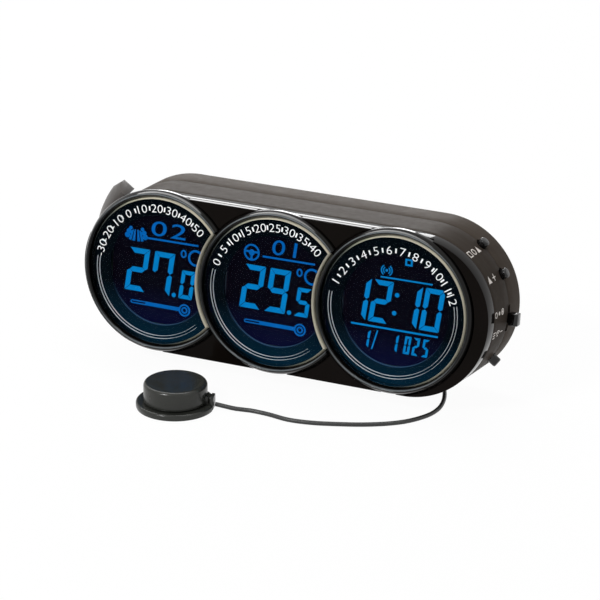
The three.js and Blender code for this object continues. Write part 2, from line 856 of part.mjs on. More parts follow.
function lead(route) {
  const curve = new THREE.CatmullRomCurve3(route.map(([x, y, z]) => new THREE.Vector3(x, y, z)), false, 'centripetal');
  const steps = Math.min(80, Math.round(curve.getLength() / leadStep));
  const section = new THREE.Shape();
  const r = leadDiameter / 2;
  for (let i = 0; i < leadSides; i++) {
    const a = (i + 0.5) * 2 * Math.PI / leadSides;
    if (i === 0) section.moveTo(r * Math.cos(a), r * Math.sin(a));
    else section.lineTo(r * Math.cos(a), r * Math.sin(a));
  }
  const g = new THREE.ExtrudeGeometry(section, { steps, bevelEnabled: false, extrudePath: curve });
  return { body: solid(g), length: curve.getLength() };
}

// The put-away length: loops that spiral in, out, in and out again, one layer above the other
function coilPoints() {
  const points = [];
  const half = coilSteps / 2;
  let angle = -Math.PI / 2;
  let r = coilOuter;
  let z = coilLow;
  const push = () => points.push(new THREE.Vector3(coilX + r * Math.cos(angle), coilY + r * Math.sin(angle), z));
  push();
  for (let layer = 0; layer < coilLayers; layer++) {
    const inwards = layer % 2 === 0 ? -1 : 1;
    for (let i = 0; i < coilLoops * coilSteps; i++) {
      angle -= 2 * Math.PI / coilSteps;
      r += inwards * coilPitch / coilSteps;
      push();
    }
    for (let i = 0; i < half && layer < coilLayers - 1; i++) {
      angle -= 2 * Math.PI / coilSteps;
      z += coilPitch / half;
      push();
    }
  }
  return points;
}

function tubeThrough(points, sides, r) {
  const position = [];
  const index = [];
  const up = new THREE.Vector3(0, 0, 1);
  points.forEach((p, i) => {
    const ahead = points[Math.min(i + 1, points.length - 1)].clone().sub(points[Math.max(i - 1, 0)]);
    if (i === 0 || i === points.length - 1) ahead.set(ahead.x, 0, 0);
    const along = ahead.normalize();
    const side = up.clone().cross(along).normalize();
    const top = along.clone().cross(side);
    for (let k = 0; k < sides; k++) {
      const a = (k + 0.5) * 2 * Math.PI / sides;
      const v = p.clone().addScaledVector(side, r * Math.cos(a)).addScaledVector(top, r * Math.sin(a));
      position.push(v.x, v.y, v.z);
    }
  });
  for (let i = 0; i < points.length - 1; i++) {
    for (let k = 0; k < sides; k++) {
      const a = i * sides + k;
      const b = i * sides + (k + 1) % sides;
      index.push(a, b, a + sides, b, b + sides, a + sides);
    }
  }
  const last = (points.length - 1) * sides;
  for (let k = 1; k < sides - 1; k++) {
    index.push(0, k + 1, k);
    index.push(last, last + k, last + k + 1);
  }
  const g = new THREE.BufferGeometry();
  g.setAttribute('position', new THREE.BufferAttribute(new Float32Array(position), 3));
  g.setIndex(index);
  return g;
}

function leastSelfGap(points) {
  let least = Infinity;
  for (let i = 0; i < points.length; i++) {
    for (let j = i + coilSteps / 2; j < points.length; j++) {
      least = Math.min(least, points[i].distanceTo(points[j]));
    }
  }
  return least - leadDiameter;
}

function pathLength(points) {
  return points.slice(1).reduce((sum, p, i) => sum + p.distanceTo(points[i]), 0);
}

function coilTie() {
  const rIn = coilInner - leadDiameter / 2 - gap * 1.7;
  const rOut = coilOuter + leadDiameter / 2 + gap;
  const low = coilLow - leadDiameter / 2 - gap;
  const high = coilHigh + leadDiameter / 2 + gap;
  const y0 = coilY - tieWidth / 2;
  const outer = block(coilX - rOut - tieThick, coilX - rIn + tieThick, y0, y0 + tieWidth, low - tieThick, high + tieThick);
  return outer.subtract(block(coilX - rOut, coilX - rIn, y0 - 1, y0 + tieWidth + 1, low, high));
}

// Assembly
add(head, 'front_shell', frontShell(), satin);
add(head, 'front_panel', frontPanel(), gloss);
dials.forEach((d, i) => {
  add(head, `rim_${d.name}`, rim(i), gloss);
  add(head, `lens_${d.name}`, lens(i), tint);
  add(head, `dial_ring_${d.name}`, dialRing(i), printBlack);
  add(head, `display_${d.name}`, displayGlass(d), displayBlue);
  add(head, `contact_strip_${d.name}`, contactStrip(d), rubber);
});
add(head, 'light_guide', lightGuide(), milk);
add(head, 'back_led_left', backLed(-1), milk);
add(head, 'back_led_right', backLed(1), milk);
add(head, 'main_board', mainBoard(), boardGreen);
add(head, 'clock_chip', clockChip(), partBlack);
add(head, 'key_board', keyBoard(), boardGreen);
add(head, 'key_switch_mode', keySwitch(modeAngle), partBlack);
add(head, 'key_switch_up', keySwitch(upAngle), partBlack);
add(head, 'key_switch_set', keySwitch(setAngle), partBlack);
add(head, 'slide_switch', slideSwitch(), steel);
add(head, 'button_mode', button(modeAngle, buttonProud), gloss);
add(head, 'button_up', button(upAngle, buttonProud), gloss);
add(head, 'button_set', button(setAngle, setProud), gloss);
add(head, 'slide_knob', slideKnob(), gloss);
add(head, 'back_shell', backShell(), rearGrey);
add(head, 'battery_door', batteryDoor(), rearGrey);
add(head, 'battery_1', cell(1), cellSkin);
add(head, 'battery_2', cell(-1), cellSkin);
add(head, 'battery_contact_1', contact(-1), steel);
add(head, 'battery_contact_2', contact(1), steel);
[[-1, -1], [-1, 1], [1, -1], [1, 1]].forEach(([sx, sz], i) => {
  add(head, `case_screw_${i + 1}`, caseScrew(sx, sz), steel);
});
add(head, 'receiver_board', receiverBoard(), boardGreen);
add(head, 'ferrite_rod', rodZ(ferritePlace, ferriteDepth, ferriteRadius, -ferriteLength / 2, ferriteLength / 2, 24), ferrite);
add(head, 'aerial_winding', aerialWinding(), copper);
add(head, 'room_thermistor', roomThermistor(), partBlack);
add(head, 'cable_gland', cableGland(), rubber);
add(head, 'pivot_pin', pivotPin(), steel);
add(head, 'pivot_nut', pivotNut(), steel);

add(floor, 'stand_arm', standArm(), satin);
add(floor, 'stand_base', standBase(), satin);
add(floor, 'stand_foot', standFoot(), rubber);
add(floor, 'friction_washer', frictionWasher(), partBlack);

add(floor, 'sensor_cap', sensorCap(), sensorGreen);
add(floor, 'sensor_base', sensorBase(), sensorGreen);
add(floor, 'sensor_clamp', clampBlock(0), rubber);
add(floor, 'sensor_bead', sensorBead(), partBlack);

const caseLead = lead(caseRoute());
const sensorLead = lead(sensorRoute());
const coil = coilPoints();
add(floor, 'lead_case', caseLead.body, leadSkin);
add(floor, 'lead_sensor', sensorLead.body, leadSkin);
add(floor, 'lead_coil', solid(tubeThrough(coil, coilSides, leadDiameter / 2)), leadSkin);
add(floor, 'coil_tie', coilTie(), rubber);
console.log(`coil: least gap to itself ${leastSelfGap(coil).toFixed(2)} mm, length ${pathLength(coil).toFixed(0)} mm`);
console.log(`lead in all: ${(caseLead.length + sensorLead.length + pathLength(coil)).toFixed(0)} mm`);

// The case leans back on its stand, and the clock without its sensor lead stands over the origin
head.rotation.x = -lean;
const clock = new THREE.Group();
clock.add(head, floor);
clock.updateMatrixWorld(true);
const onLead = ['sensor_cap', 'sensor_base', 'sensor_clamp', 'sensor_bead', 'lead_case', 'lead_sensor',
  'lead_coil', 'coil_tie'];
const extent = new THREE.Box3();
clock.traverse((part) => {
  if (part.isMesh && !onLead.includes(part.name)) extent.expandByObject(part, true);
});
const middle = extent.getCenter(new THREE.Vector3());
clock.position.set(-middle.x, -middle.y, -ground);
root.add(clock);
export default root;
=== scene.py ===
"""Looks of a radio-controlled clock with three dials, a tilting stand and an outside sensor on a thin lead."""

from math import atan2, cos, hypot, pi, radians, sin, sqrt

import bmesh
import bpy
from mathutils import Matrix, Vector


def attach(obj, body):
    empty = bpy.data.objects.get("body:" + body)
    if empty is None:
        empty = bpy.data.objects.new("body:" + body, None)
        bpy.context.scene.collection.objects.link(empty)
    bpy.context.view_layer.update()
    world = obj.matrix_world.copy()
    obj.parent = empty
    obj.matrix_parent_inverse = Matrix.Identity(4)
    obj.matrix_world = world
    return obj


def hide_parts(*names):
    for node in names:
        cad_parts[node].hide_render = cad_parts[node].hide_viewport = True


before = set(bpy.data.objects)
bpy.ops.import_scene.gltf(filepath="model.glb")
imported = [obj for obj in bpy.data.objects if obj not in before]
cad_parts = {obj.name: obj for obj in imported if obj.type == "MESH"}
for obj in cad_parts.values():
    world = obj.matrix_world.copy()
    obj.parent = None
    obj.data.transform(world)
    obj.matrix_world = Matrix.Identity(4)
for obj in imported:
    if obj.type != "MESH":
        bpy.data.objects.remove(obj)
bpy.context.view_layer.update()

# Places and sizes in millimetres, as the solids have them: x to the right, y to the back, z up. The case is upright
# about its own origin at the middle dial, and IN_CASE leans it back and puts it in the frame.
LEAN = radians(6.92)
ROLL = radians(0.5)
GROUND = -27.7
OFFSET = (-0.32409, -21.11314, -GROUND)
ON_FLOOR = Matrix.Scale(0.001, 4) @ Matrix.Translation(OFFSET)
IN_CASE = ON_FLOOR @ Matrix.Rotation(-LEAN, 4, "X")
LEFT_END, RIGHT_END = -35.3, 39.0
CASE_R, INSIDE_R = 22.9, 21.3
RIM_OUT, RIM_IN, RIM_HOLE = 22.8, 21.05, 23.0
PART_Y, BACK_Y = 17.0, 26.4
FALL = 0.055  # of the case's top, for each millimetre from the back edge to the front
DIALS = {"left": (-35.0, 0.0), "middle": (0.0, -0.44), "right": (35.0, 0.0)}
NEXT = {"left": DIALS["middle"], "middle": DIALS["right"], "right": None}  # whose rim lies over this one's right side
PRINTS = {"left": (-35.0, -0.3), "middle": (0.0, -0.44), "right": (35.0, 0.3)}
HIGHLIGHT_RISE = 0.28  # of the painted highlight line on a rim
PAINTED_LIGHT_SIDE = radians(30)  # where the lens bevels carry a painted highlight
SLANT = 0.11  # of the display figures
SCREWS = [(17.5 * side, 18.9 * level) for side in (-1, 1) for level in (-1, 1)]
BAY = (-26.75, 22.75, 10.95)  # left, right, and half its height
BUTTONS = {"mode": (53, 1.7), "up": (28.5, 1.7), "set": (-34, 2.3)}  # angle on the right end, and how far it stands out
SLIDE_Z = -1.1
GLAND = (40, -12)
PIVOT_Y, PIVOT_Z = PART_Y * cos(LEAN), -PART_Y * sin(LEAN)
SENSOR, SENSOR_TURN = (-17.8, -23.7), radians(14)
LEAD_R = 0.6
COIL = (12.0, 63.0)
COIL_IN, PITCH, LOOPS, LAYERS = 2.9, 1.86, 5, 4
COIL_OUT, COIL_LIFT = COIL_IN + PITCH * LOOPS, 0.9


def on_scene(name, data):
    """A new object with that data, linked to the scene."""
    thing = bpy.data.objects.new(name, data)
    bpy.context.scene.collection.objects.link(thing)
    return thing


def camera():
    data = bpy.data.cameras.new("camera")
    data.lens, data.sensor_width = 175.04, 36.0
    turn, rise, away = radians(24.021), radians(21.656), 0.78775
    aim = Vector((0.007782, -0.021113, 0.026668))
    back = Vector((sin(turn) * cos(rise), -cos(turn) * cos(rise), sin(rise)))
    level = back.to_track_quat("Z", "Y").to_matrix().to_4x4()
    view = on_scene("camera", data)
    view.matrix_world = Matrix.Translation(aim + back * away) @ level @ Matrix.Rotation(ROLL, 4, "Z")
    bpy.context.scene.camera = view


# Materials

class Coat:
    """A material whose colour, roughness and relief vary over the surface, in the piece's own coordinates."""

    def __init__(self, name, roughness=0.4, metallic=0.0, ior=1.5, **sockets):
        self.material = bpy.data.materials.new(name)
        self.material.use_nodes = True
        self.tree = self.material.node_tree
        self.shader = self.tree.nodes["Principled BSDF"]
        for socket, value in dict(Roughness=roughness, Metallic=metallic, IOR=ior, **sockets).items():
            self.shader.inputs[socket.replace("_", " ")].default_value = value
        self.place = self.add("ShaderNodeTexCoord").outputs["Object"]

    def add(self, kind, **settings):
        node = self.tree.nodes.new(kind)
        for key, value in settings.items():
            setattr(node, key, value)
        return node

    def join(self, out, into):
        self.tree.links.new(out, into)

    def noise(self, scale, detail=3.0, stretch=(1, 1, 1), rough=0.5, turn=(0, 0, 0)):
        mapping, node = self.add("ShaderNodeMapping"), self.add("ShaderNodeTexNoise")
        mapping.inputs["Scale"].default_value = stretch
        mapping.inputs["Rotation"].default_value = turn
        self.join(self.place, mapping.inputs["Vector"])
        node.inputs["Scale"].default_value = scale
        node.inputs["Detail"].default_value = detail
        node.inputs["Roughness"].default_value = rough
        self.join(mapping.outputs[0], node.inputs["Vector"])
        return node.outputs["Fac"]

    def ramp(self, source, *stops):
        node = self.add("ShaderNodeValToRGB")
        band = node.color_ramp
        while len(band.elements) < len(stops):
            band.elements.new(0.5)
        for element, (at, colour) in zip(band.elements, stops):
            element.position = at
            element.color = (*colour, 1)
        self.join(source, node.inputs["Fac"])
        return node.outputs["Color"]

    def between(self, source, low, high, start=0.35, stop=0.65):
        """Maps start to stop of the source onto low to high."""
        node = self.add("ShaderNodeMapRange")
        for socket, value in zip(("From Min", "From Max", "To Min", "To Max"), (start, stop, low, high)):
            node.inputs[socket].default_value = value
        self.join(source, node.inputs["Value"])
        return node.outputs["Result"]

    def colour(self, source, *stops):
        self.join(self.ramp(source, *stops), self.shader.inputs["Base Color"])

    def rough(self, source, low, high):
        self.join(self.between(source, low, high), self.shader.inputs["Roughness"])

    def relief(self, source, height, strength):
        node = self.add("ShaderNodeBump")
        node.inputs["Distance"].default_value = height
        node.inputs["Strength"].default_value = strength
        self.join(source, node.inputs["Height"])
        self.join(node.outputs["Normal"], self.shader.inputs["Normal"])


def shade(red, green, blue):
    """Display values from 0 to 255 as scene-linear colour."""
    parts = (red / 255, green / 255, blue / 255)
    return tuple(c / 12.92 if c <= 0.04045 else ((c + 0.055) / 1.055) ** 2.4 for c in parts)


def moulded(name, dark, light, roughness, ior=1.5, grain=2600, height=0.00002):
    """Moulded plastic or rubber: slightly mottled, with a fine grain of that height in metres."""
    coat = Coat(name, roughness, ior=ior)
    coat.colour(coat.noise(55), (0.3, dark), (0.7, light))
    coat.rough(coat.noise(160, 4), roughness * 0.8, roughness * 1.25)
    coat.relief(coat.noise(grain, 2), height, 0.35)
    return coat.material


def brushed(name, dark, light, roughness, metallic, stretch, turn=(0, 0, 0), ior=1.5):
    """A surface with fine streaks along the axis that has the smallest stretch."""
    coat = Coat(name, roughness, metallic, ior)
    streaks = coat.noise(900, 5, stretch, 0.65, turn)
    coat.colour(streaks, (0.25, dark), (0.75, light))
    coat.rough(coat.noise(600, 4), roughness * 0.92, roughness * 1.08)
    coat.relief(streaks, 0.00001, 0.15)
    return coat.material


def glowing(name, low, high, strength):
    """A lit mark of a display."""
    coat = Coat(name, 0.5, ior=1.05, Base_Color=(0.002, 0.003, 0.006, 1), Emission_Strength=strength)
    coat.join(coat.ramp(coat.noise(420, 2), (0.3, low), (0.7, high)), coat.shader.inputs["Emission Color"])
    return coat.material


def materials():
    m = {}
    m["bezel"] = moulded("bezel_gloss", shade(12, 9, 7), shade(17, 13, 11), 0.06, 1.11, height=0.000006)
    m["key"] = moulded("button_gloss", shade(4, 4, 4), shade(8, 7, 7), 0.05, 1.42, height=0.000006)
    for name, dark, light in (("wall", (53, 47, 42), (59, 53, 48)), ("rear", (65, 58, 52), (71, 64, 58))):
        m[name] = brushed(name + "_satin", shade(*dark), shade(*light), 0.44, 0.0, (0.12, 1, 0.12), (LEAN, 0, 0), 1.065)
    m["arm"] = brushed("arm_satin", shade(60, 56, 53), shade(76, 71, 68), 0.4, 0.25, (1, 0.06, 0.12))
    m["plate"] = moulded("plate_satin", shade(52, 48, 46), shade(62, 58, 55), 0.5, grain=4000, height=0.00003)
    for name, (x, z) in DIALS.items():
        m["bevel_" + name], m["rim_" + name] = bevel_finish(name, x), rim_finish(name, x, z)
    glass = Coat("tinted_lens", 0.03, ior=1.06, Transmission_Weight=1.0)
    glass.colour(glass.noise(30, 1), (0.3, (0.5, 0.6, 0.68)), (0.7, (0.53, 0.63, 0.71)))
    glass.rough(glass.noise(300, 3), 0.02, 0.045)
    m["glass"] = glass.material
    m["print"] = moulded("dial_print", shade(236, 238, 240), shade(250, 251, 252), 0.55)
    m["label"] = moulded("label_print", shade(214, 208, 202), shade(228, 222, 216), 0.6)
    m["digits"] = glowing("display_digits", shade(2, 152, 226), shade(5, 160, 236), 0.92)
    m["icons"] = glowing("display_marks", shade(3, 124, 214), shade(6, 132, 226), 0.82)
    # Painted glow: the display's face and the print round each window shine teal or blue towards the bottom
    m["display"] = window_ring("display_glass", shade(7, 3, 12), shade(13, 15, 54))
    m["window"] = window_ring("dial_mask", shade(3, 8, 12), shade(5, 40, 56))
    m["window_edge"] = window_ring("window_edge", shade(2, 6, 12), shade(66, 96, 126))
    m["sensor"] = moulded("sensor_plastic", shade(38, 39, 36), shade(44, 45, 41), 0.22, 1.38, height=0.000008)
    m["lead"] = moulded("lead_skin", shade(26, 27, 26), shade(36, 37, 36), 0.42, grain=5000)
    m["rubber"] = moulded("rubber", shade(20, 20, 20), shade(30, 30, 29), 0.75, grain=5000, height=0.00005)
    m["tie"] = moulded("tie_strap", shade(24, 24, 25), shade(36, 36, 37), 0.6, grain=6000, height=0.00005)
    m["steel"] = brushed("steel", shade(122, 122, 121), shade(158, 158, 156), 0.34, 1.0, (1, 1, 0.2))
    m["board"] = moulded("board_green", shade(24, 70, 42), shade(34, 92, 54), 0.4)
    m["chip"] = moulded("chip_black", shade(20, 20, 21), shade(30, 30, 31), 0.5)
    m["ferrite"] = moulded("ferrite_grey", shade(44, 44, 46), shade(60, 60, 62), 0.7, height=0.00006)
    m["copper"] = brushed("copper_winding", shade(150, 84, 44), shade(196, 116, 66), 0.35, 1.0, (0.1, 0.1, 2))
    m["cell"] = moulded("cell_sleeve", shade(52, 98, 62), shade(62, 112, 72), 0.3)
    m["guide"] = moulded("light_guide", shade(206, 214, 222), shade(224, 230, 236), 0.35)
    return m


def bevel_finish(name, middle):
    """A polished bevel with a painted highlight: cream towards the lit side, dark on the far side."""
    coat = Coat("lens_bevel_" + name, 0.2, ior=1.3)
    toward = coat.add("ShaderNodeVectorMath", operation="DOT_PRODUCT")
    toward.inputs[1].default_value = (cos(PAINTED_LIGHT_SIDE), 0, sin(PAINTED_LIGHT_SIDE))
    coat.join(coat.place, toward.inputs[0])
    # The painted highlight runs from 15 mm short of the dial's middle to 6 mm past it, towards the lit side
    centre = (OFFSET[0] + middle) * cos(PAINTED_LIGHT_SIDE) + OFFSET[2] * sin(PAINTED_LIGHT_SIDE)
    across = coat.between(toward.outputs["Value"], 0.0, 1.0, (centre - 15) / 1000, (centre + 6) / 1000)
    # The ramp paints the highlight: dark away from the lit side, cream towards it
    coat.colour(across, (0.0, shade(26, 28, 28)), (0.4, shade(92, 98, 94)),
                (0.75, shade(196, 196, 174)), (1.0, shade(228, 222, 200)))
    return coat.material


def rim_finish(name, x, z):
    """Piano black with a painted highlight: a thin pale line along the crest, which fades at the rim's two sides."""
    coat = Coat("rim_gloss_" + name, 0.07, ior=1.28)
    from_middle = coat.add("ShaderNodeVectorMath", operation="MULTIPLY_ADD")
    from_middle.inputs[1].default_value = (1, 0, 1 / cos(LEAN))
    from_middle.inputs[2].default_value = (
        -(OFFSET[0] + x) / 1000, 0, -(OFFSET[2] / cos(LEAN) + z + HIGHLIGHT_RISE) / 1000)
    coat.join(coat.place, from_middle.inputs[0])
    radius = coat.add("ShaderNodeVectorMath", operation="LENGTH")
    coat.join(from_middle.outputs["Vector"], radius.inputs[0])
    # The rim lies between these two distances from the middle, in metres
    across = coat.between(radius.outputs["Value"], 0.0, 1.0, 0.0208, 0.0228)
    # The pale band on the crest is a painted highlight
    black, painted_highlight = shade(14, 12, 11), shade(106, 112, 115)
    line = coat.ramp(across, (0.34, black), (0.42, painted_highlight), (0.46, painted_highlight), (0.55, black))
    parts = coat.add("ShaderNodeSeparateXYZ")
    height = coat.add("ShaderNodeMath", operation="ABSOLUTE")
    share = coat.add("ShaderNodeVectorMath", operation="SCALE")
    coat.join(from_middle.outputs["Vector"], parts.inputs[0])
    coat.join(parts.outputs["Z"], height.inputs[0])
    coat.join(line, share.inputs[0])
    # The painted highlight is strongest at the top and bottom of the rim and fades at its two sides
    coat.join(coat.between(height.outputs[0], 0.12, 1.0, 0.01, 0.019), share.inputs["Scale"])
    coat.join(share.outputs["Vector"], coat.shader.inputs["Base Color"])
    coat.relief(coat.noise(2600, 2), 0.000006, 0.35)
    return coat.material


def window_ring(name, top, bottom):
    """A painted glow for the print behind a lens, and for the display's face, as if lit by the display: emission that
    is black at the top and deep teal or blue at the bottom.
    """
    coat = Coat(name, 0.5, ior=1.05, Base_Color=(0.002, 0.003, 0.004, 1), Emission_Strength=1.0)
    low = coat.add("ShaderNodeSeparateXYZ")
    coat.join(coat.place, low.inputs[0])
    lower = coat.between(low.outputs["Z"], 1.0, 0.0, 0.008, 0.05)
    coat.join(coat.ramp(lower, (0.1, top), (0.66, top), (1.0, bottom)), coat.shader.inputs["Emission Color"])
    return coat.material


# Shapes. A shape is (points, faces), in millimetres.

def skin(rings, closed=False):
    """Joins rings with as many points each; closed joins the last to the first, otherwise both ends are capped."""
    n, count = len(rings[0]), len(rings)
    faces = []
    for i in range(count if closed else count - 1):
        a, b = i * n, (i + 1) % count * n
        faces += [(a + k, a + (k + 1) % n, b + (k + 1) % n, b + k) for k in range(n)]
    if not closed:
        faces += [tuple(range(n)), tuple(reversed(range((count - 1) * n, count * n)))]
    return [p for ring in rings for p in ring], faces


def quarter(steps):
    """The angles of a quarter round."""
    return [pi / 2 * i / steps for i in range(steps + 1)]


def full_turn(n, shift=0.0):
    return [2 * pi * (k + shift) / n for k in range(n)]


def rounded(u0, u1, v0, v1, r, steps, inset=0.0):
    """The outline of a rectangle with round corners, drawn in by inset."""
    corners = [(u1 - r, v1 - r, 0), (u0 + r, v1 - r, 1), (u0 + r, v0 + r, 2), (u1 - r, v0 + r, 3)]
    return [(u + (r - inset) * cos(a), v + (r - inset) * sin(a)) for u, v, q in corners
            for a in ((q + i / steps) * pi / 2 for i in range(steps + 1))]


def case_body(profile, closed=False, n=60):
    """A body with the case's long outline, from (radius of its ends, depth) points."""
    def ring(r, y):
        right = [(RIGHT_END + r * cos(a), y, r * sin(a)) for a in (pi * (i / n - 0.5) for i in range(n + 1))]
        left = [(LEFT_END + r * cos(a), y, r * sin(a)) for a in (pi * (i / n + 0.5) for i in range(n + 1))]
        return right + left
    return skin([ring(r, y) for r, y in profile], closed)


def falling(shape):
    """The shape with its top falling a little from the case's back edge to the front."""
    return [(x, y, z - max(z, 0) / CASE_R * FALL * (BACK_Y - y)) for x, y, z in shape[0]], shape[1]


def turned(x, z, profile, n=144, closed=True):
    """A ring or disc about the depth axis through (x, z), from (radius, depth) points."""
    return skin([[(x + r * cos(a), y, z + r * sin(a)) for a in full_turn(n)] for r, y in profile], closed)


def disc(x, z, r, y0, y1, n=144):
    return turned(x, z, [(r, y0), (r, y1)], n, closed=False)


def turned_up(x, y, profile, n=96):
    """A body turned about the upright axis through (x, y), from (radius, height) points."""
    return skin([[(x + r * cos(a), y + r * sin(a), z) for a in full_turn(n)] for r, z in profile])


def peg(profile, n=40):
    """A body turned about the line along x at the depth of the parting line, from (radius, x) points."""
    return skin([[(x, PART_Y + r * cos(a), r * sin(a)) for a in full_turn(n)] for r, x in profile])


def block(x0, x1, y0, y1, z0, z1):
    base = [(x0, y0), (x1, y0), (x1, y1), (x0, y1)]
    return skin([[(x, y, z0) for x, y in base], [(x, y, z1) for x, y in base]])


def soft_block(x0, x1, y0, y1, z0, z1, r, steps=4):
    """A block with its edges along y rounded to r, and small rounds at its two ends."""
    e = min(r, abs(y1 - y0) / 2) * 0.5
    levels = [(e, y0), (e * 0.3, y0 + e * 0.3), (0, y0 + e), (0, y1 - e), (e * 0.3, y1 - e * 0.3), (e, y1)]
    return skin([[(x, y, z) for x, z in rounded(x0, x1, z0, z1, r, steps, inset)] for inset, y in levels])


def upright_plate(x0, x1, y0, y1, r, z0, z1):
    return skin([[(x, y, z) for x, y in rounded(x0, x1, y0, y1, r, 8)] for z in (z0, z1)])


def moved(shape, change):
    return [tuple(change @ Vector(p)) for p in shape[0]], shape[1]


def on_right_end(shape, angle):
    return moved(shape, Matrix.Translation((RIGHT_END, 0, 0)) @ Matrix.Rotation(-radians(angle), 4, "Y"))


def together(*shapes):
    points, faces = [], []
    for p, f in shapes:
        start = len(points)
        points += p
        faces += [tuple(start + i for i in face) for face in f]
    return points, faces


def mesh_of(shape, name="shape"):
    """The shape as a closed mesh with its doubles merged and its faces outwards."""
    mesh = bpy.data.meshes.new(name)
    mesh.from_pydata(shape[0], [], shape[1])
    bm = bmesh.new()
    bm.from_mesh(mesh)
    bmesh.ops.remove_doubles(bm, verts=bm.verts, dist=1e-4)
    bmesh.ops.dissolve_degenerate(bm, edges=bm.edges, dist=1e-4)
    bmesh.ops.recalc_face_normals(bm, faces=bm.faces)
    if bm.calc_volume(signed=True) < 0:
        bmesh.ops.reverse_faces(bm, faces=bm.faces)
    bm.to_mesh(mesh)
    bm.free()
    return mesh


def bench(mesh):
    """A mesh or curve on the scene, for a modifier to work on or to be made a mesh."""
    return on_scene("bench", mesh)


def result(thing):
    """The plain mesh that comes out of an object's modifiers; the object goes."""
    bpy.context.view_layer.update()
    mesh = bpy.data.meshes.new_from_object(thing.evaluated_get(bpy.context.evaluated_depsgraph_get()))
    bpy.data.objects.remove(thing)
    return mesh


def cut(shape, tools, operation="DIFFERENCE"):
    """The shape with the tools' shapes taken away, or joined on."""
    body = bench(mesh_of(shape))
    helpers = [bench(mesh_of(tool)) for tool in tools]
    for helper in helpers:
        step = body.modifiers.new("cut", "BOOLEAN")
        step.operation, step.solver, step.object = operation, "EXACT", helper
    mesh = result(body)
    for helper in helpers:
        bpy.data.objects.remove(helper)
    shape = [tuple(v.co) for v in mesh.vertices], [tuple(p.vertices) for p in mesh.polygons]
    bpy.data.meshes.remove(mesh)
    return shape


def place(name, shape, finish, home=IN_CASE, body="clock", hides=(), sharp=34, bevel=0.0):
    """Puts a shape or a mesh in the scene as a piece of that body, with smooth faces that meet sharply past an angle.
    A mesh that has its finish already comes with None."""
    mesh = shape if isinstance(shape, bpy.types.Mesh) else mesh_of(shape, name)
    if bevel:
        thing = bench(mesh)
        step = thing.modifiers.new("edges", "BEVEL")
        step.width, step.segments, step.limit_method, step.angle_limit = bevel, 2, "ANGLE", radians(50)
        mesh = result(thing)
    mesh.name = name
    mesh.transform(home)
    mesh.polygons.foreach_set("use_smooth", [True] * len(mesh.polygons))
    mesh.set_sharp_from_angle(angle=radians(sharp))
    if finish:
        mesh.materials.clear()
        mesh.materials.append(COATS[finish])
    piece = on_scene(name, mesh)
    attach(piece, body)
    if hides:
        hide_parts(*hides)
    return piece


# Flat marks: outlines, or pairs of an outline and the hole in it, as (across, up) points

def inlay(marks, lay):
    """The marks as one shape of small thickness, laid on a surface by a function of (across, up, top)."""
    points, faces = [], []
    for mark in marks:
        outer, inner = mark if isinstance(mark, tuple) else (mark, None)
        n, start = len(outer), len(points)
        for loop in (outer, inner) if inner else (outer,):
            for top in (1, 0):
                points += [lay(u, v, top) for u, v in loop]
        for k in range(n):
            j = (k + 1) % n
            faces.append((start + k, start + n + k, start + n + j, start + j))
            if inner:
                for a, b in ((0, 2), (1, 3)):
                    faces.append((start + a * n + k, start + a * n + j, start + b * n + j, start + b * n + k))
                faces.append((start + 2 * n + k, start + 2 * n + j, start + 3 * n + j, start + 3 * n + k))
        if not inner:
            faces += [tuple(start + k for k in range(n)), tuple(start + n + k for k in reversed(range(n)))]
    return points, faces


def bar(u0, u1, v0, v1, rise=0.0):
    """A straight bar, whose right end lies higher by rise."""
    return [(u0, v0), (u1, v0 + rise), (u1, v1 + rise), (u0, v1)]


def spot(u, v, ru, rv=None, n=24):
    return [(u + ru * cos(a), v + (rv or ru) * sin(a)) for a in full_turn(n)]


def hoop(u, v, ru, thick, rv=None):
    rv = rv or ru
    return spot(u, v, ru, rv, 28), spot(u, v, ru - thick, rv - thick, 28)


def swath(u, v, r0, r1, a0, a1, n=20):
    """Part of a ring, between two angles in degrees."""
    way = [radians(a0 + (a1 - a0) * i / n) for i in range(n + 1)]
    outer, inner = ([(u + r * cos(a), v + r * sin(a)) for a in way] for r in (r1, r0))
    return outer + inner[::-1]


SEGMENTS = {"0": "abcdef", "1": "bc", "2": "abged", "3": "abgcd", "4": "fgbc", "5": "afgcd", "6": "afgecd",
            "7": "abcf", "8": "abcdefg", "9": "abcdfg"}


def digit(figure, u, v, wide, high, stroke, slit=0.11):
    """The lit segments of one figure, with its lower left corner at (u, v)."""
    w, h, t, g, mid = wide, high, stroke, slit, high / 2
    right_top = [(w, h - g), (w, mid + t * 0.4), (w - t / 2, mid + g), (w - t, mid + t / 2 + g), (w - t, h - t - g)]
    right_low = [(x, h - y) for x, y in right_top]
    shapes = {
        "a": [(g, h), (w - g, h), (w - t - g, h - t), (t + g, h - t)],
        "d": [(g, 0), (w - g, 0), (w - t - g, t), (t + g, t)],
        "b": right_top, "c": right_low,
        "f": [(w - x, y) for x, y in right_top], "e": [(w - x, y) for x, y in right_low],
        "g": [(t / 2 + g, mid), (t + g, mid + t / 2), (w - t - g, mid + t / 2), (w - t / 2 - g, mid),
              (w - t - g, mid - t / 2), (t + g, mid - t / 2)],
    }
    return [[(u + x + y * SLANT, v + y) for x, y in shapes[s]] for s in SEGMENTS[figure]]


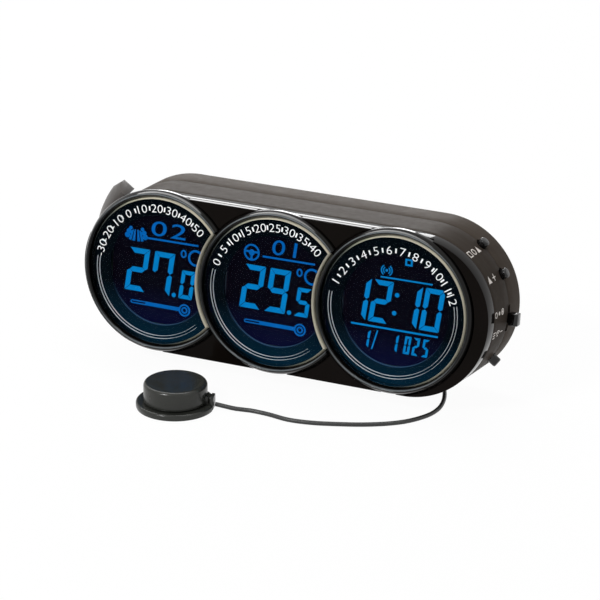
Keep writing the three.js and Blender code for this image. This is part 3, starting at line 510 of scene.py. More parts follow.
def figures(text, high, weight=0.0, space=1.0):
    """Plain figures as a flat shape of that height, centred across, and its width; z is 1 on top and 0 below."""
    curve = bpy.data.curves.new("figures", "FONT")
    curve.body, curve.size, curve.extrude, curve.offset, curve.space_character = text, 1, 0.5, weight, space
    curve.resolution_u = 4
    mesh = result(bench(curve))
    xs, ys = [v.co.x for v in mesh.vertices], [v.co.y for v in mesh.vertices]
    size = high / (max(ys) - min(ys))
    middle = (max(xs) + min(xs)) / 2
    points = [((v.co.x - middle) * size, (v.co.y - min(ys)) * size, v.co.z + 0.5) for v in mesh.vertices]
    faces = [tuple(p.vertices) for p in mesh.polygons]
    bpy.data.meshes.remove(mesh)
    bpy.data.curves.remove(curve)
    return (points, faces), (max(xs) - min(xs)) * size


# Geometry Nodes: trees for what repeats or follows a line

def tree(name, *inputs):
    group = bpy.data.node_groups.new(name, "GeometryNodeTree")
    group.interface.new_socket("Geometry", in_out="INPUT", socket_type="NodeSocketGeometry")
    for label, kind, value in inputs:
        socket = group.interface.new_socket(label, in_out="INPUT", socket_type="NodeSocket" + kind)
        if value is not None:
            socket.default_value = value
    group.interface.new_socket("Geometry", in_out="OUTPUT", socket_type="NodeSocketGeometry")
    return group


def wire(group, *pairs):
    for out, into in pairs:
        group.links.new(out, into)


def ended(group, start, made):
    """Ends a tree: what it made, as real geometry in the finish of its Coat input."""
    real, paint, end = (group.nodes.new(kind) for kind in (
        "GeometryNodeRealizeInstances", "GeometryNodeSetMaterial", "NodeGroupOutput"))
    wire(group, (made, real.inputs["Geometry"]), (real.outputs["Geometry"], paint.inputs["Geometry"]),
         (start.outputs["Coat"], paint.inputs["Material"]), (paint.outputs["Geometry"], end.inputs["Geometry"]))
    return group


def run_tree(group, mesh, **values):
    """Applies a tree to a mesh and returns the plain mesh that comes out."""
    thing = bench(mesh)
    step = thing.modifiers.new("nodes", "NODES")
    step.node_group = group
    ids = {item.name: item.identifier for item in group.interface.items_tree if item.in_out == "INPUT"}
    for label, value in values.items():
        step[ids[label]] = value
    return result(thing)


def swept_tree():
    """Sweeps a flat strip, Width by Height, along the edges it is given."""
    group = tree("strip along a line", ("Width", "Float", 0.2), ("Height", "Float", 0.04), ("Coat", "Material", None))
    start, line, profile, sweep = (group.nodes.new(kind) for kind in (
        "NodeGroupInput", "GeometryNodeMeshToCurve", "GeometryNodeCurvePrimitiveQuadrilateral",
        "GeometryNodeCurveToMesh"))
    sweep.inputs["Fill Caps"].default_value = True
    wire(group, (start.outputs["Geometry"], line.inputs["Mesh"]), (line.outputs["Curve"], sweep.inputs["Curve"]),
         (start.outputs["Width"], profile.inputs["Width"]), (start.outputs["Height"], profile.inputs["Height"]),
         (profile.outputs["Curve"], sweep.inputs["Profile Curve"]))
    return ended(group, start, sweep.outputs["Mesh"])


def row_tree():
    """Sets a copy of the object in the Part input on every point it is given."""
    group = tree("copies on points", ("Part", "Object", None), ("Coat", "Material", None))
    start, info, copies = (group.nodes.new(kind) for kind in (
        "NodeGroupInput", "GeometryNodeObjectInfo", "GeometryNodeInstanceOnPoints"))
    wire(group, (start.outputs["Geometry"], copies.inputs["Points"]), (start.outputs["Part"], info.inputs["Object"]),
         (info.outputs["Geometry"], copies.inputs["Instance"]))
    return ended(group, start, copies.outputs["Instances"])


def mesh_of_points(points, edges=()):
    mesh = bpy.data.meshes.new("points")
    mesh.from_pydata(points, list(edges), [])
    return mesh


def repeated(shape, points, finish):
    part = bench(mesh_of(shape))
    mesh = run_tree(ROWS, mesh_of_points(points), Part=part, Coat=COATS[finish])
    bpy.data.objects.remove(part)
    return mesh


def strip(points, width, height, finish, closed=False):
    edges = [(i, i + 1) for i in range(len(points) - 1)] + ([(len(points) - 1, 0)] if closed else [])
    return run_tree(SWEPT, mesh_of_points(points, edges), Width=width, Height=height, Coat=COATS[finish])


# Lead

def through(points, step=1.6):
    """A centripetal Catmull-Rom line through points, sampled about every step."""
    p = [Vector(q) for q in points]
    p = [2 * p[0] - p[1]] + p + [2 * p[-1] - p[-2]]
    line = []
    for a, b, c, d in zip(p, p[1:], p[2:], p[3:]):
        d0, d1, d2 = (sqrt((end - start).length) for start, end in ((a, b), (b, c), (c, d)))
        t1 = ((b - a) / d0 - (c - a) / (d0 + d1) + (c - b) / d1) * d1
        t2 = ((c - b) / d1 - (d - b) / (d1 + d2) + (d - c) / d2) * d1
        n = max(1, round((c - b).length / step))
        for t in (k / n for k in range(n)):
            line.append(b + t1 * t + (3 * (c - b) - 2 * t1 - t2) * t * t + (2 * (b - c) + t1 + t2) * t ** 3)
    return line + [p[-2]]


def tube(line, r, sides=12):
    """A round tube along a line, without twist."""
    rings = []
    side = Vector((1, 0, 0))
    for i, point in enumerate(line):
        along = (line[min(i + 1, len(line) - 1)] - line[max(i - 1, 0)]).normalized()
        side = (side - along * side.dot(along)).normalized()
        top = along.cross(side)
        rings.append([tuple(point + r * (cos(a) * side + sin(a) * top)) for a in full_turn(sides)])
    return skin(rings)


def winding(low, steps=24):
    """The line of the coil, wound inwards and outwards by turns, with half a turn to climb to the next layer."""
    line = []
    angle, r, z = -pi / 2, COIL_OUT, low
    for layer in range(LAYERS):
        way = -1 if layer % 2 == 0 else 1
        climb = steps // 2 if layer < LAYERS - 1 else 0
        for i in range(LOOPS * steps + climb):
            angle -= 2 * pi / steps
            if i < LOOPS * steps:
                r += way * PITCH / steps
            else:
                z += PITCH / (steps // 2)
            line.append(Vector((COIL[0] + r * cos(angle), COIL[1] + r * sin(angle), z)))
    return line


def lead_line():
    """The lead's line: out of the gland, down to the floor, round the coil and along the floor to the sensor."""
    floor_line = GROUND + LEAD_R
    low = GROUND + COIL_LIFT + LEAD_R
    high = low + PITCH * (LAYERS - 1)
    x, y = COIL
    gland_x, gland_z = GLAND
    gland_end = BACK_Y + 2.7
    exit_y = gland_end * cos(LEAN) + gland_z * sin(LEAN)
    exit_z = -gland_end * sin(LEAN) + gland_z * cos(LEAN)
    from_case = [(gland_x, exit_y, exit_z), (gland_x, exit_y + 1.2 * cos(LEAN), exit_z - 1.2 * sin(LEAN)),
                 (39.8, 33.5, -19.5), (39.3, 38.5, -23.5), (37.8, 43.5, -26.2), (34.5, 47.6, floor_line + 0.15),
                 (29, 49.8, floor_line + 0.1), (22, 50.6, floor_line + 0.4),
                 (x + 3.2, y - COIL_OUT, low), (x + 0.3, y - COIL_OUT, low)]
    way_x, way_y = cos(SENSOR_TURN), sin(SENSOR_TURN)
    out_x, out_y, out_z = SENSOR[0] + 10.95 * way_x, SENSOR[1] + 10.95 * way_y, GROUND + 1.5
    to_sensor = [(x + 0.3, y + COIL_OUT, high), (x + 1.5, y + COIL_OUT, high), (19, 75.4, -23.6), (25, 75.2, -26.4)]
    to_sensor += [(px, py, floor_line + rise) for px, py, rise in (
        (31, 73.4, 0.1), (36.5, 68.8, 0), (40, 62, 0), (41.6, 53, 0), (42.4, 43, 0), (42, 33, 0), (41.6, 26, 0),
        (42.4, 20.5, 0), (45.2, 14.2, 0), (46.9, 9, 0), (47.6, 4, 0), (47, -0.6, 0), (45.2, -4.6, 0), (42.6, -8.2, 0),
        (38.9, -11.4, 0), (33.3, -14.7, 0), (26.8, -17.4, 0), (20.3, -19.5, 0), (14, -20.3, 0), (7.6, -19.3, 0),
        (2.2, -19.1, 0), (-1.6, -20.1, 0.2))]
    to_sensor += [(out_x + 1.2 * way_x, out_y + 1.2 * way_y, out_z - 0.2), (out_x, out_y, out_z)]
    return through(from_case) + [Vector((x, y - COIL_OUT, low))] + winding(low) + through(to_sensor)


def lead():
    """The lead with the pieces on it: the tie of its coil, and the outside sensor with its resin bead."""
    line = lead_line()
    tie = coil_tie()
    drop = [(1.3 * sin(a) or 0.01, GROUND + 3.4 - 1.3 * cos(a)) for a in (pi * i / 10 for i in range(11))]
    bead = place("sensor_bead_resin", turned_up(*SENSOR, drop, 24), "chip", ON_FLOOR, hides=["sensor_bead"])
    with_lead = [tie, bead] + sensor()
    piece = place("lead", tube(line, LEAD_R), "lead", ON_FLOOR, hides=["lead_case", "lead_coil", "lead_sensor"])
    path = [tuple(ON_FLOOR @ p) for p in line]
    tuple(path[0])


def coil_tie():
    """A flat strap round the coil's turns on their left side."""
    x, y = COIL
    right, left = x - COIL_IN + LEAD_R + 0.21, x - COIL_OUT - LEAD_R - 0.6
    low, high = GROUND + COIL_LIFT - 0.6, GROUND + COIL_LIFT + 2 * LEAD_R + PITCH * (LAYERS - 1) + 0.6
    loop = [(u, y, v) for u, v in rounded(left, right, low, high, 0.9, 5)]
    return place("coil_strap", strip(loop, 1.6, 0.5, "tie", closed=True), None, ON_FLOOR, hides=["coil_tie"])


def sensor():
    """The sensor's cap, its flanged base, and the grip where the lead leaves it."""
    x, y = SENSOR
    cap_r, flange = 8.67, 10.75
    cap = [(0.01, 7.25), (cap_r - 2.6, 7.25)]
    cap += [(cap_r - 1.0 + 1.0 * sin(a), 6.25 + 1.0 * cos(a)) for a in quarter(8)]
    cap += [(cap_r, 2.1), (cap_r - 1.1, 2.1), (cap_r - 1.1, 5.6), (cap_r - 2.2, 6.1), (0.01, 6.1)]
    base = [(0.01, 0), (flange - 0.5, 0), (flange - 0.12, 0.14), (flange, 0.5), (flange, 1.3)]
    base += [(flange - 0.5 + 0.5 * cos(a), 1.3 + 0.5 * sin(a)) for a in quarter(5)[1:]]
    base += [(cap_r + 0.7, 1.8), (cap_r + 0.35, 1.7), (cap_r - 0.1, 1.72), (0.01, 1.8)]
    turn = Matrix.Translation((x, y, 0)) @ Matrix.Rotation(SENSOR_TURN, 4, "Z")
    exit_hole = moved(block(6.4, 11.6, -2.0, 2.0, GROUND - 0.1, GROUND + 4.3), turn)
    pieces = []
    for name, profile, node in (("sensor_cap_shell", cap, "sensor_cap"), ("sensor_flange", base, "sensor_base")):
        shell = cut(turned_up(x, y, [(r, GROUND + z) for r, z in profile]), [exit_hole])
        pieces.append(place(name, shell, "sensor", ON_FLOOR, hides=[node]))
    grip = moved(soft_block(6.77, 10.65, -1.7, 1.7, GROUND + 0.3, GROUND + 4.0, 0.3), turn)
    slots = [moved(block(9.2, 9.8, v0, v1, GROUND + 2.2, GROUND + 4.6), turn) for v0, v1 in ((-1.9, -0.9), (0.9, 1.9))]
    return pieces + [place("sensor_grip", cut(grip, slots), "sensor", ON_FLOOR, hides=["sensor_clamp"])]


# Case

def end_holes():
    """What the wall and the rear cover leave free for the keys, the slide and the pivot pin."""
    hole = peg([(1.7, INSIDE_R - 2), (1.7, 40)])
    slot = soft_block(RIGHT_END + 15, RIGHT_END + 30, PART_Y - 0.9, PART_Y + 0.9, SLIDE_Z - 3.7, SLIDE_Z + 3.7, 0.02)
    pin = moved(peg([(2.1, -40), (2.1, -19)]), Matrix.Translation((LEFT_END, 0, 0)))
    return [on_right_end(hole, angle) for angle, _ in BUTTONS.values()] + [slot, pin]


def case_wall():
    """The wall round the front half, with a ledge inside that carries the dials."""
    wall = [(22.75, 5.8), (22.86, 5.83), (CASE_R, 5.9), (CASE_R, 7.5), (CASE_R, 13.0), (CASE_R, 16.86),
            (22.87, 16.94), (22.8, 16.97), (INSIDE_R, 16.97), (INSIDE_R, 7.6), (20.0, 7.6), (20.0, 2.8),
            (INSIDE_R, 2.8), (INSIDE_R, 5.8)]
    ledge = cut(case_body([(20.3, 2.8), (20.3, 3.9)]), [disc(x, z, 18.6, 0, 6) for x, z in DIALS.values()])
    shell = falling(together(cut(case_body(wall, True), end_holes()), ledge))
    place("case_wall", shell, "wall", hides=["front_shell"])


def bezel():
    """The glossy front panel with a skirt round the case, and a hole for each rim."""
    face, edge = 0.9, 0.25
    outer = [(1.0, face), (12.0, face), (19.0, face)]
    outer += [(CASE_R - edge + edge * sin(a), face + (edge - edge * cos(a))) for a in quarter(4)]
    outer += [(CASE_R, 1.22), (CASE_R, 5.6), (22.88, 5.68), (22.8, 5.72)]
    holes = [disc(x, z, RIM_HOLE, -5, 2.8, 180) for x, z in DIALS.values()]
    hollow = case_body([(21.6, 2.3), (21.6, 7)])
    place("bezel", cut(falling(case_body(outer)), holes + [hollow]), "bezel", hides=["front_panel"], sharp=28)


def rear_cover():
    """The cover with the battery bay's open box, its share of the end holes, and seats for the screws."""
    x0, x1, half = BAY
    past = BACK_Y + 1.6  # well behind the back face
    rear = [(22.8, 17.03), (22.87, 17.06), (CASE_R, 17.14), (CASE_R, 21.0)]
    rear += [(21.9 + cos(a), BACK_Y - 1 + sin(a)) for a in quarter(7)]
    shell = falling(cut(case_body(rear), [case_body([(INSIDE_R, 16), (INSIDE_R, BACK_Y - 1.6)])]))
    shell = cut(shell, [block(x0 - 1.1, x1 + 1.1, 10.7, BACK_Y - 0.8, -half - 1.1, half + 1.1)], "UNION")
    openings = [block(x0, x1, 11.8, BACK_Y - 2.6, -half, half),
                block(x0 + 0.9, x1 - 0.9, BACK_Y - 2.7, past, -half, half), disc(*GLAND, 2.3, 20, past, 40)]
    openings += [disc(x, z, 2.1, BACK_Y - 1.4, past, 40) for x, z in SCREWS]
    place("rear_cover", cut(shell, openings + end_holes()), "rear", hides=["back_shell"])


def case_screws():
    past = BACK_Y + 1.6
    cross = [block(-u, u, BACK_Y - 0.55, past, -v, v) for u, v in ((1.1, 0.2), (0.2, 1.1))]
    dome = [(0.01, 12), (0.9, 12)] + [(r, BACK_Y - down) for r, down in
            ((0.9, 1.2), (1.8, 1.1), (1.8, 0.5), (1.62, 0.25), (1.2, 0.08), (0.6, 0), (0.01, 0))]
    screw = cut(turned(0, 0, dome, 40, closed=False), cross)
    place("case_screws", repeated(screw, [(x, 0, z) for x, z in SCREWS], "steel"), None,
          hides=["case_screw_1", "case_screw_2", "case_screw_3", "case_screw_4"])


def lead_gland():
    steps = [(0.65, -3.0), (2.0, -3.0), (2.0, 0.3), (1.75, 0.7), (1.75, 1.0), (1.9, 1.1), (1.9, 1.3), (1.5, 1.4),
             (1.5, 1.7), (1.6, 1.8), (1.6, 2.0), (1.2, 2.1), (1.1, 2.4), (0.65, 2.4)]
    place("lead_gland", turned(*GLAND, [(r, BACK_Y + y) for r, y in steps], 40), "rubber", hides=["cable_gland"])


def battery_door():
    x0, x1, half = BAY
    left, right, tall = x0 + 1.2, x1 - 1.2, half - 0.3
    plate = soft_block(left, right, BACK_Y - 1.3, BACK_Y, -tall, tall, 0.8)
    thumb = soft_block(-8, 4, BACK_Y - 0.5, BACK_Y + 1.5, tall - 4.6, tall - 1.6, 1.2)
    place("battery_leaf", cut(plate, [thumb]), "rear", body="door", hides=["battery_door"])
    rib = soft_block(-5.2, 5.2, BACK_Y - 0.5, BACK_Y - 0.08, -0.16, 0.16, 0.12, 3)
    ribs = repeated(rib, [(-2, 0, tall - 2.3 - 0.75 * i) for i in range(3)], "rear")
    place("door_grip", ribs, None, body="door")


RIM = [(RIM_IN, 2.5), (RIM_IN, 0.2), (21.08, 0.12), (21.12, 0.04), (21.36, -0.36), (21.44, -0.48), (21.58, -0.64),
       (21.76, -0.7), (21.94, -0.66), (22.08, -0.5), (22.12, -0.44), (22.54, 0.26), (22.58, 0.34), (22.7, 0.62),
       (22.78, 0.86), (RIM_OUT, 1.1), (RIM_OUT, 2.0), (22.0, 2.5)]
MASK = [(15.5, 2.5), (15.5, 1.9), (15.6, 1.8), (20.3, 1.8), (20.3, 2.5)]
WINDOW_EDGE = [(15.42, 2.4), (15.42, 1.85), (15.52, 1.75), (15.6, 1.78), (15.6, 2.4)]


def rims():
    for name, (x, z) in DIALS.items():
        ring, mask = turned(x, z, RIM, 200), turned(x, z, MASK, 160)
        if NEXT[name]:
            over = disc(*NEXT[name], RIM_HOLE, -5, 4, 220)
            ring, mask = cut(ring, [over]), cut(mask, [over])
        place(f"rim_{name}_gloss", ring, "rim_" + name, hides=[f"rim_{name}"])
        place(f"mask_{name}", mask, "window", hides=[f"dial_ring_{name}"])
        place(f"window_edge_{name}", turned(x, z, WINDOW_EDGE, 160), "window_edge")
        lens(name, x, z)


def lens_outline(x, z, neighbour, r, inset, n=150):
    """A lens's edge, drawn in by inset: its own circle, less the circle of the rim that lies over it."""
    r -= inset
    if not neighbour:
        return [(x + r * cos(a), z + r * sin(a)) for a in full_turn(n, 0.5)]
    ox, oz = neighbour[0] - x, neighbour[1] - z
    over, far = RIM_HOLE + inset, hypot(ox, oz)
    along = (far * far + r * r - over * over) / (2 * far)
    up = sqrt(r * r - along * along)
    aim = atan2(oz, ox)
    own, other = atan2(up, along), atan2(up, far - along)
    big = int(n * 0.7)
    small = n - big
    points = [(x + r * cos(aim + a), z + r * sin(aim + a))
              for a in (own + (2 * pi - 2 * own) * k / big for k in range(big))]
    points += [(x + ox - over * cos(aim - a), z + oz - over * sin(aim - a))
               for a in (-other + 2 * other * k / small for k in range(small))]
    return points


def lens(name, x, z):
    """The tinted glass, and the polished bevel that runs round it."""
    edge, depth, outer = 0.5, 0.8, 20.93

    def level(inset, y):
        return [(px, y, pz) for px, pz in lens_outline(x, z, NEXT[name], outer, inset)]

    glass = skin([level(edge + 0.02, y) for y in (0.0, 1.5)])
    place(f"lens_{name}_glass", glass, "glass", hides=[f"lens_{name}"])
    band = [(edge, 0.0), (edge * 0.5, depth * 0.42), (0.0, depth), (0.0, 1.3), (edge, 1.3)]
    place(f"bevel_{name}", skin([level(inset, y) for inset, y in band], True), "bevel_" + name)


# Print on the lenses

def round_dial(shape, x, z, radius, middle):
    """Lays a flat shape along a circle about (x, z), with its middle at that angle, on the face of the lens."""
    def at(u, v, top):
        out, angle = radius + v - 1.12, middle - u * 1.14 / radius
        return x + out * cos(angle), -0.025 if top > 0.5 else 0.01, z + out * sin(angle)
    return [at(*point) for point in shape[0]], shape[1]


def arc_print():
    """Round each dial a row of plain numbers with ticks between them, and a double line below."""
    # The numbers, the angles of the first and last, the row's radius and shift, and where the lines start and stop
    rows = {"left": (range(-30, 60, 10), 165.5, 49.5, 18.1, 0.0, 173.3, -46.5),
            "middle": (range(0, 45, 5), 160.5, 50.0, 18.15, 0.0, 167.3, -50.5),
            "right": (range(1, 13), 156.5, 24.0, 18.27, -1.67, 171.3, 13.2)}
    tick = inlay([bar(-0.19, 0.19, 0.5, 1.75)], lambda u, v, top: (u, v, top))
    for name, (numbers, first, last, radius, shift, start, stop) in rows.items():
        x, z = PRINTS[name]
        gaps = len(numbers) - 1
        half = radians(last - first) / gaps / 2
        shapes = []
        for i, number in enumerate(numbers):
            at = radians(first + (last - first) * i / gaps)
            shapes.append(round_dial(figures(str(number), 2.25, -0.012)[0], x, z + shift, radius, at))
            if i < gaps:
                shapes.append(round_dial(tick, x, z + shift, radius, at + half))
        place(f"scale_{name}", together(*shapes), "print")
        span = (stop - start) % 360
        for k, r in enumerate((17.81, 18.6)):
            path = [(x + r * cos(a), -0.01, z + r * sin(a)) for a in (
                radians(start + span * i / 150) for i in range(151))]
            place(f"line_{name}_{k + 1}", strip(path, 0.5, 0.03, "print"), None)


# Displays

def lay_display(x, z):
    """Lays marks on the face of a display, about (x, z)."""
    return lambda u, v, top: (x + u, 4.05 if top else 4.15, z + v)


def garden_sign():
    """Two plants side by side, for the outside."""
    crowns = [(-11.65, 8.3, 0.78), (-11.3, 9.45, 0.66), (-10.7, 10.4, 0.52), (-10.6, 9.2, 0.5)]
    stems = [[(-11.2, 7.1), (-10.45, 6.95), (-9.75, 9.9), (-10.1, 10.0)],
             [(-10.1, 6.9), (-9.25, 6.85), (-9.15, 10.1), (-9.45, 10.1)]]
    crowns += [(-17.8 - u, v, r) for u, v, r in crowns]
    return [spot(*crown) for crown in crowns] + stems + [[(-17.8 - u, v) for u, v in stem] for stem in stems]


def wheel_sign():
    """A steering wheel, for the inside."""
    return [hoop(-8.65, 9.28, 2.35, 0.5), spot(-8.65, 9.25, 0.85), bar(-10.6, -6.7, 9.2, 9.75),
            bar(-8.95, -8.35, 7.3, 9.2)]


def temperature(name, text, starts, base, sign, number, wide, rise):
    """One dial's temperature, with its unit, sign, number and thermometer; its marks lie higher by rise."""
    lay = lay_display(*PRINTS[name])
    marks = []
    for figure, u in zip(text, starts):
        marks += digit(figure, u, base, 6.1, 12.3, 1.45)
    marks += digit(text[2], 4.82, base + 0.05, 4.1, 8.1, 1.1) + [spot(3.42, base + 0.65, 0.62)]
    place(f"digits_{name}", inlay(marks, lay), "digits")
    signs = sign + [bar(-5.3, 10.2, 8.0 + rise, 8.5 + rise, 0.1), hoop(5.85, 5.45 + rise * 0.9, 0.88, 0.42, 1.15)]
    signs += [swath(9.6, 4.75 + rise, 1.75, 2.35, 50, 310)]
    v = -10.5 + rise * 0.9
    signs += [hoop(6.9, v - 0.05, 1.75, 0.42), hoop(6.9, v - 0.05, 0.95, 0.42), bar(-5.2, 5.4, v - 0.52, v + 0.52)]
    signs += [bar(-9.3, -5.2, v + 0.22, v + 0.52), bar(-9.3, -5.2, v - 0.52, v - 0.22),
              swath(-9.3, v, 0.22, 0.52, 90, 270, 8)]
    (points, faces), own = figures(number, 4.2, 0.0, 1.15)
    stretch = wide / own
    word = [lay(0.8 + u * stretch + w * 0.1, 9.25 + rise + w, top > 0.5) for u, w, top in points], faces
    place(f"marks_{name}", together(inlay(signs, lay), word), "icons")


def time_and_date():
    marks = []
    for figure, u, wide in (("1", -14.75, 5.5), ("2", -8.4, 5.5), ("1", 0.02, 5.5), ("0", 6.4, 5.6)):
        marks += digit(figure, u, -4.95, wide, 11.8, 1.35)
    marks += [spot(-0.45, 3.45, 0.62), spot(-0.95, -1.62, 0.62)]
    for figure, u in (("1", -9.6), ("1", -1.35), ("0", 2.25), ("2", 4.75), ("5", 7.5)):
        marks += digit(figure, u, -12.35, 1.75, 4.95, 0.62, slit=0.05)
    marks += [bar(-5.5, 9.4, 7.62, 8.02, 0.12), bar(-13.2, 11.95, -6.5, -6.02, 0.1),
              [(-6.95, -12.6), (-6.6, -12.6), (-5.2, -7.2), (-5.55, -7.2)],
              (bar(1.25, 3.35, 11.95, 13.85), bar(1.75, 2.85, 12.4, 13.4)), spot(-3.9, 9.8, 0.36)]
    marks += [swath(-3.9, 9.8, r, r + 0.28, a, a + 110, 10) for r in (0.8, 1.4) for a in (-55, 125)]
    place("digits_right", inlay(marks, lay_display(*PRINTS["right"])), "digits")


def display_marks():
    temperature("left", "270", (-11.88, -4.15), -7.35, garden_sign(), "02", 10.6, 0.0)
    temperature("middle", "295", (-11.57, -4.04), -6.45, wheel_sign(), "01", 7.2, 0.42)
    time_and_date()


# Keys on the right end

def keys():
    """Three round keys with a collar inside the case, and the knob of the slide on its stem."""
    for name, (angle, proud) in BUTTONS.items():
        tip, edge = CASE_R + proud, 0.5
        profile = [(0.01, 20.5), (2.2, 20.5), (2.2, 21.0), (1.4, 21.0), (1.4, tip - edge)]
        profile += [(0.9 + edge * cos(a), tip - edge + edge * sin(a)) for a in quarter(5)[1:]] + [(0.01, tip)]
        place(f"key_{name}", falling(on_right_end(peg(profile), angle)), "key", body=f"{name}_button",
              hides=[f"button_{name}"])
    face = RIGHT_END + CASE_R
    outwards = Matrix.Translation((face, PART_Y, SLIDE_Z)) @ Matrix.Rotation(-pi / 2, 4, "Z")
    knob = moved(soft_block(-1.3, 1.3, 0.3, 3.0, -1.7, 1.7, 0.35), outwards)
    stem = block(RIGHT_END + 19.8, face + 0.8, PART_Y - 0.6, PART_Y + 0.6, SLIDE_Z - 1.1, SLIDE_Z + 1.1)
    place("slider", together(knob, stem), "key", body="switch_knob", hides=["slide_knob"])


def labels():
    """Plain signs in front of each key, printed round the right end."""
    def lay(angle):
        def at(u, v, top):
            a, r = radians(angle) + v / CASE_R, CASE_R + (0.03 if top else -0.05)
            return RIGHT_END + r * cos(a), u, r * sin(a)
        return at

    mode = [(bar(6.4, 8.4, -1, 1), bar(6.7, 8.1, -0.7, 0.7)), hoop(10.2, 0, 1.0, 0.3),
            [(12.0, -1.0), (14.0, -1.0), (13.0, 1.0)]]
    up = [[(7.0, -1.0), (9.2, -1.0), (8.1, 1.1)], bar(10.4, 12.4, -0.16, 0.16), bar(11.24, 11.56, -1.0, 1.0)]
    slide_high = [hoop(7.2, 0, 0.9, 0.28), spot(9.6, 0, 0.55), hoop(12.0, 0, 0.9, 0.28), spot(12.0, 0, 0.35)]
    slide_low = [bar(6.4, 8.0, -0.9, -0.6), bar(6.4, 8.0, -0.15, 0.15), bar(6.4, 8.0, 0.6, 0.9)]
    slide_low += [swath(10.0, -0.6, r, r + 0.26, 30, 150, 10) for r in (0.7, 1.3)]
    slide_low += [spot(10.0, -0.6, 0.3), bar(12.0, 13.6, -0.15, 0.15)]
    rows = [inlay(marks, lay(angle)) for marks, angle in ((mode, 52), (up, 30), (slide_high, 5), (slide_low, -9.5))]
    place("side_signs", falling(together(*rows)), "label")


# Stand

ARM = [(24.1, 14.0), (25.2, 14.0), (25.5, 14.12), (26.5, 15.25), (27.4, 16.4), (28.1, 17.6), (28.65, 18.8),
       (28.95, 19.75), (28.9, 20.0), (24.1, 20.0)]


def stand():
    """A curved arm about the pivot, cut to a pointed tip, on a base plate with a large window."""
    start, stop, steps = radians(131), radians(252), 120
    arm = skin([[(LEFT_END + r * cos(a), y, PIVOT_Z + r * sin(a)) for r, y in ARM]
                for a in (start + (stop - start) * i / steps for i in range(steps + 1))])
    tip = Matrix.Translation((LEFT_END - 19.98, PART_Y, PIVOT_Z + 19.55))
    blades = [moved(block(-45, 45, -9, 9, 0, 45), tip @ Matrix.Rotation(radians(a), 4, "Y")) for a in (-35.5, 35.5)]
    low, high = GROUND + 0.4, GROUND + 1.4
    below = block(-200, 200, -200, 200, -200, high)
    pivot = Matrix.Translation((LEFT_END, PIVOT_Y - PART_Y, PIVOT_Z))
    bores = [moved(peg([(r, -60), (r, end)], 60), pivot) for r, end in ((2.25, -22), (3.5, -26.2))]
    shoe = soft_block(-53, -43, 18, 30, high, GROUND + 2.9, 0.4)
    place("arm", together(cut(arm, blades + [below] + bores), shoe), "arm", ON_FLOOR, "stand", hides=["stand_arm"],
          bevel=0.12)
    plate = upright_plate(-60, 35, 10.5, BACK_Y + 19.3, 4, low, high)
    window = upright_plate(-41, 26, 15.5, BACK_Y + 13.3, 2, low - 1, high + 1)
    slope = Matrix.Translation((-50.5, 17.25, 0)) @ Matrix.Rotation(-atan2(13.5, 19), 4, "Z")
    corner = moved(block(-30, 30, -40, 0, low - 1, high + 1), slope)
    place("base_plate", cut(plate, [window, corner]), "plate", ON_FLOOR, "stand", hides=["stand_base"], bevel=0.18)


# Nodes that keep their solid and only take a finish
KEPT = {
    "display": ["display_left", "display_middle", "display_right"],
    "rubber": ["contact_strip_left", "contact_strip_middle", "contact_strip_right", "stand_foot", "friction_washer"],
    "guide": ["light_guide", "back_led_left", "back_led_right"],
    "board": ["main_board", "key_board", "receiver_board"],
    "chip": ["clock_chip", "key_switch_mode", "key_switch_up", "key_switch_set", "room_thermistor"],
    "steel": ["slide_switch", "battery_contact_1", "battery_contact_2", "pivot_pin", "pivot_nut"],
    "cell": ["battery_1", "battery_2"],
    "ferrite": ["ferrite_rod"],
    "copper": ["aerial_winding"],
}


def kept_nodes():
    for finish, names in KEPT.items():
        for name in names:
            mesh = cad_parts[name].data
            mesh.materials.clear()
            mesh.materials.append(COATS[finish])


# Room

def floor():
    """A matt floor that keeps the shadow and is white where the background shows."""
    white = bpy.data.materials.new("floor_white")
    white.use_nodes = True
    nodes, links = white.node_tree.nodes, white.node_tree.links
    nodes.clear()
    out, mix, matt, glow, share = (nodes.new("ShaderNode" + kind) for kind in (
        "OutputMaterial", "MixShader", "BsdfDiffuse", "Emission", "Math"))
    matt.inputs["Color"].default_value = (0.86, 0.86, 0.86, 1)
    share.operation = "MULTIPLY"
    share.inputs[1].default_value = 0.96
    links.new(background_rays(nodes, links), share.inputs[0])
    for i, source in enumerate((share, matt, glow)):
        links.new(source.outputs[0], mix.inputs[i])
    links.new(mix.outputs[0], out.inputs["Surface"])
    mesh = bpy.data.meshes.new("floor")
    mesh.from_pydata([(-3, -3, 0), (3, -3, 0), (3, 3, 0), (-3, 3, 0)], [], [(0, 1, 2, 3)])
    mesh.materials.append(white)
    on_scene("floor", mesh)


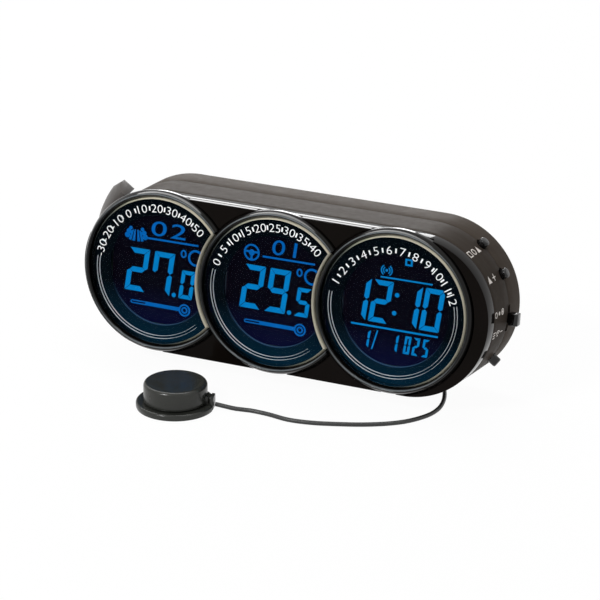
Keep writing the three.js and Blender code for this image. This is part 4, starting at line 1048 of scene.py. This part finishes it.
def room():
    """A world that lights evenly and shows white, and four lamps."""
    world = bpy.data.worlds.new("room")
    bpy.context.scene.world = world
    world.use_nodes = True
    nodes, links = world.node_tree.nodes, world.node_tree.links
    back, level = nodes["Background"], nodes.new("ShaderNodeMapRange")
    back.inputs["Color"].default_value = (1, 1, 1, 1)
    level.inputs["To Min"].default_value = 0.3
    level.inputs["To Max"].default_value = 1.0
    links.new(background_rays(nodes, links), level.inputs["Value"])
    links.new(level.outputs["Result"], back.inputs["Strength"])

    lamp("overhead_strip", (-0.37, 0.285, 0.85), (-0.37, 0.285, 0), 1.4, 0.1, 5.6, -18)
    lamp("rear_card", (-0.53, 1.19, 0.38), (0, 0, 0.04), 0.55, 0.3, 4.9)
    lamp("front_softbox", (-0.35, -0.95, 0.8), (0, 0, 0.03), 0.3, 0.18, 9.0)
    lamp("right_softbox", (0.8, -0.35, 0.6), (0, 0, 0.03), 0.2, 0.4, 0.4)


def background_rays(nodes, links):
    """1 for the rays that show the white background: from the camera, off gloss and through glass."""
    path = nodes.new("ShaderNodeLightPath")
    seen = path.outputs["Is Camera Ray"]
    for kind in ("Is Glossy Ray", "Is Transmission Ray"):
        either = nodes.new("ShaderNodeMath")
        either.operation = "MAXIMUM"
        links.new(seen, either.inputs[0])
        links.new(path.outputs[kind], either.inputs[1])
        seen = either.outputs[0]
    return seen


def lamp(name, at, aim, wide, high, watts, turn=0.0):
    """A rectangular lamp that faces aim, turned by that many degrees about its own beam."""
    data = bpy.data.lights.new(name, "AREA")
    data.shape, data.size, data.size_y, data.energy = "RECTANGLE", wide, high, watts
    facing = (Vector(at) - Vector(aim)).to_track_quat("Z", "Y").to_matrix().to_4x4()
    on_scene(name, data).matrix_world = Matrix.Translation(at) @ facing @ Matrix.Rotation(radians(turn), 4, "Z")


bpy.context.scene.view_settings.view_transform = "Standard"
COATS = materials()
SWEPT, ROWS = swept_tree(), row_tree()
camera()
lead()
floor()
room()
kept_nodes()
case_wall()
bezel()
rear_cover()
case_screws()
lead_gland()
battery_door()
rims()
arc_print()
display_marks()
keys()
labels()
stand()
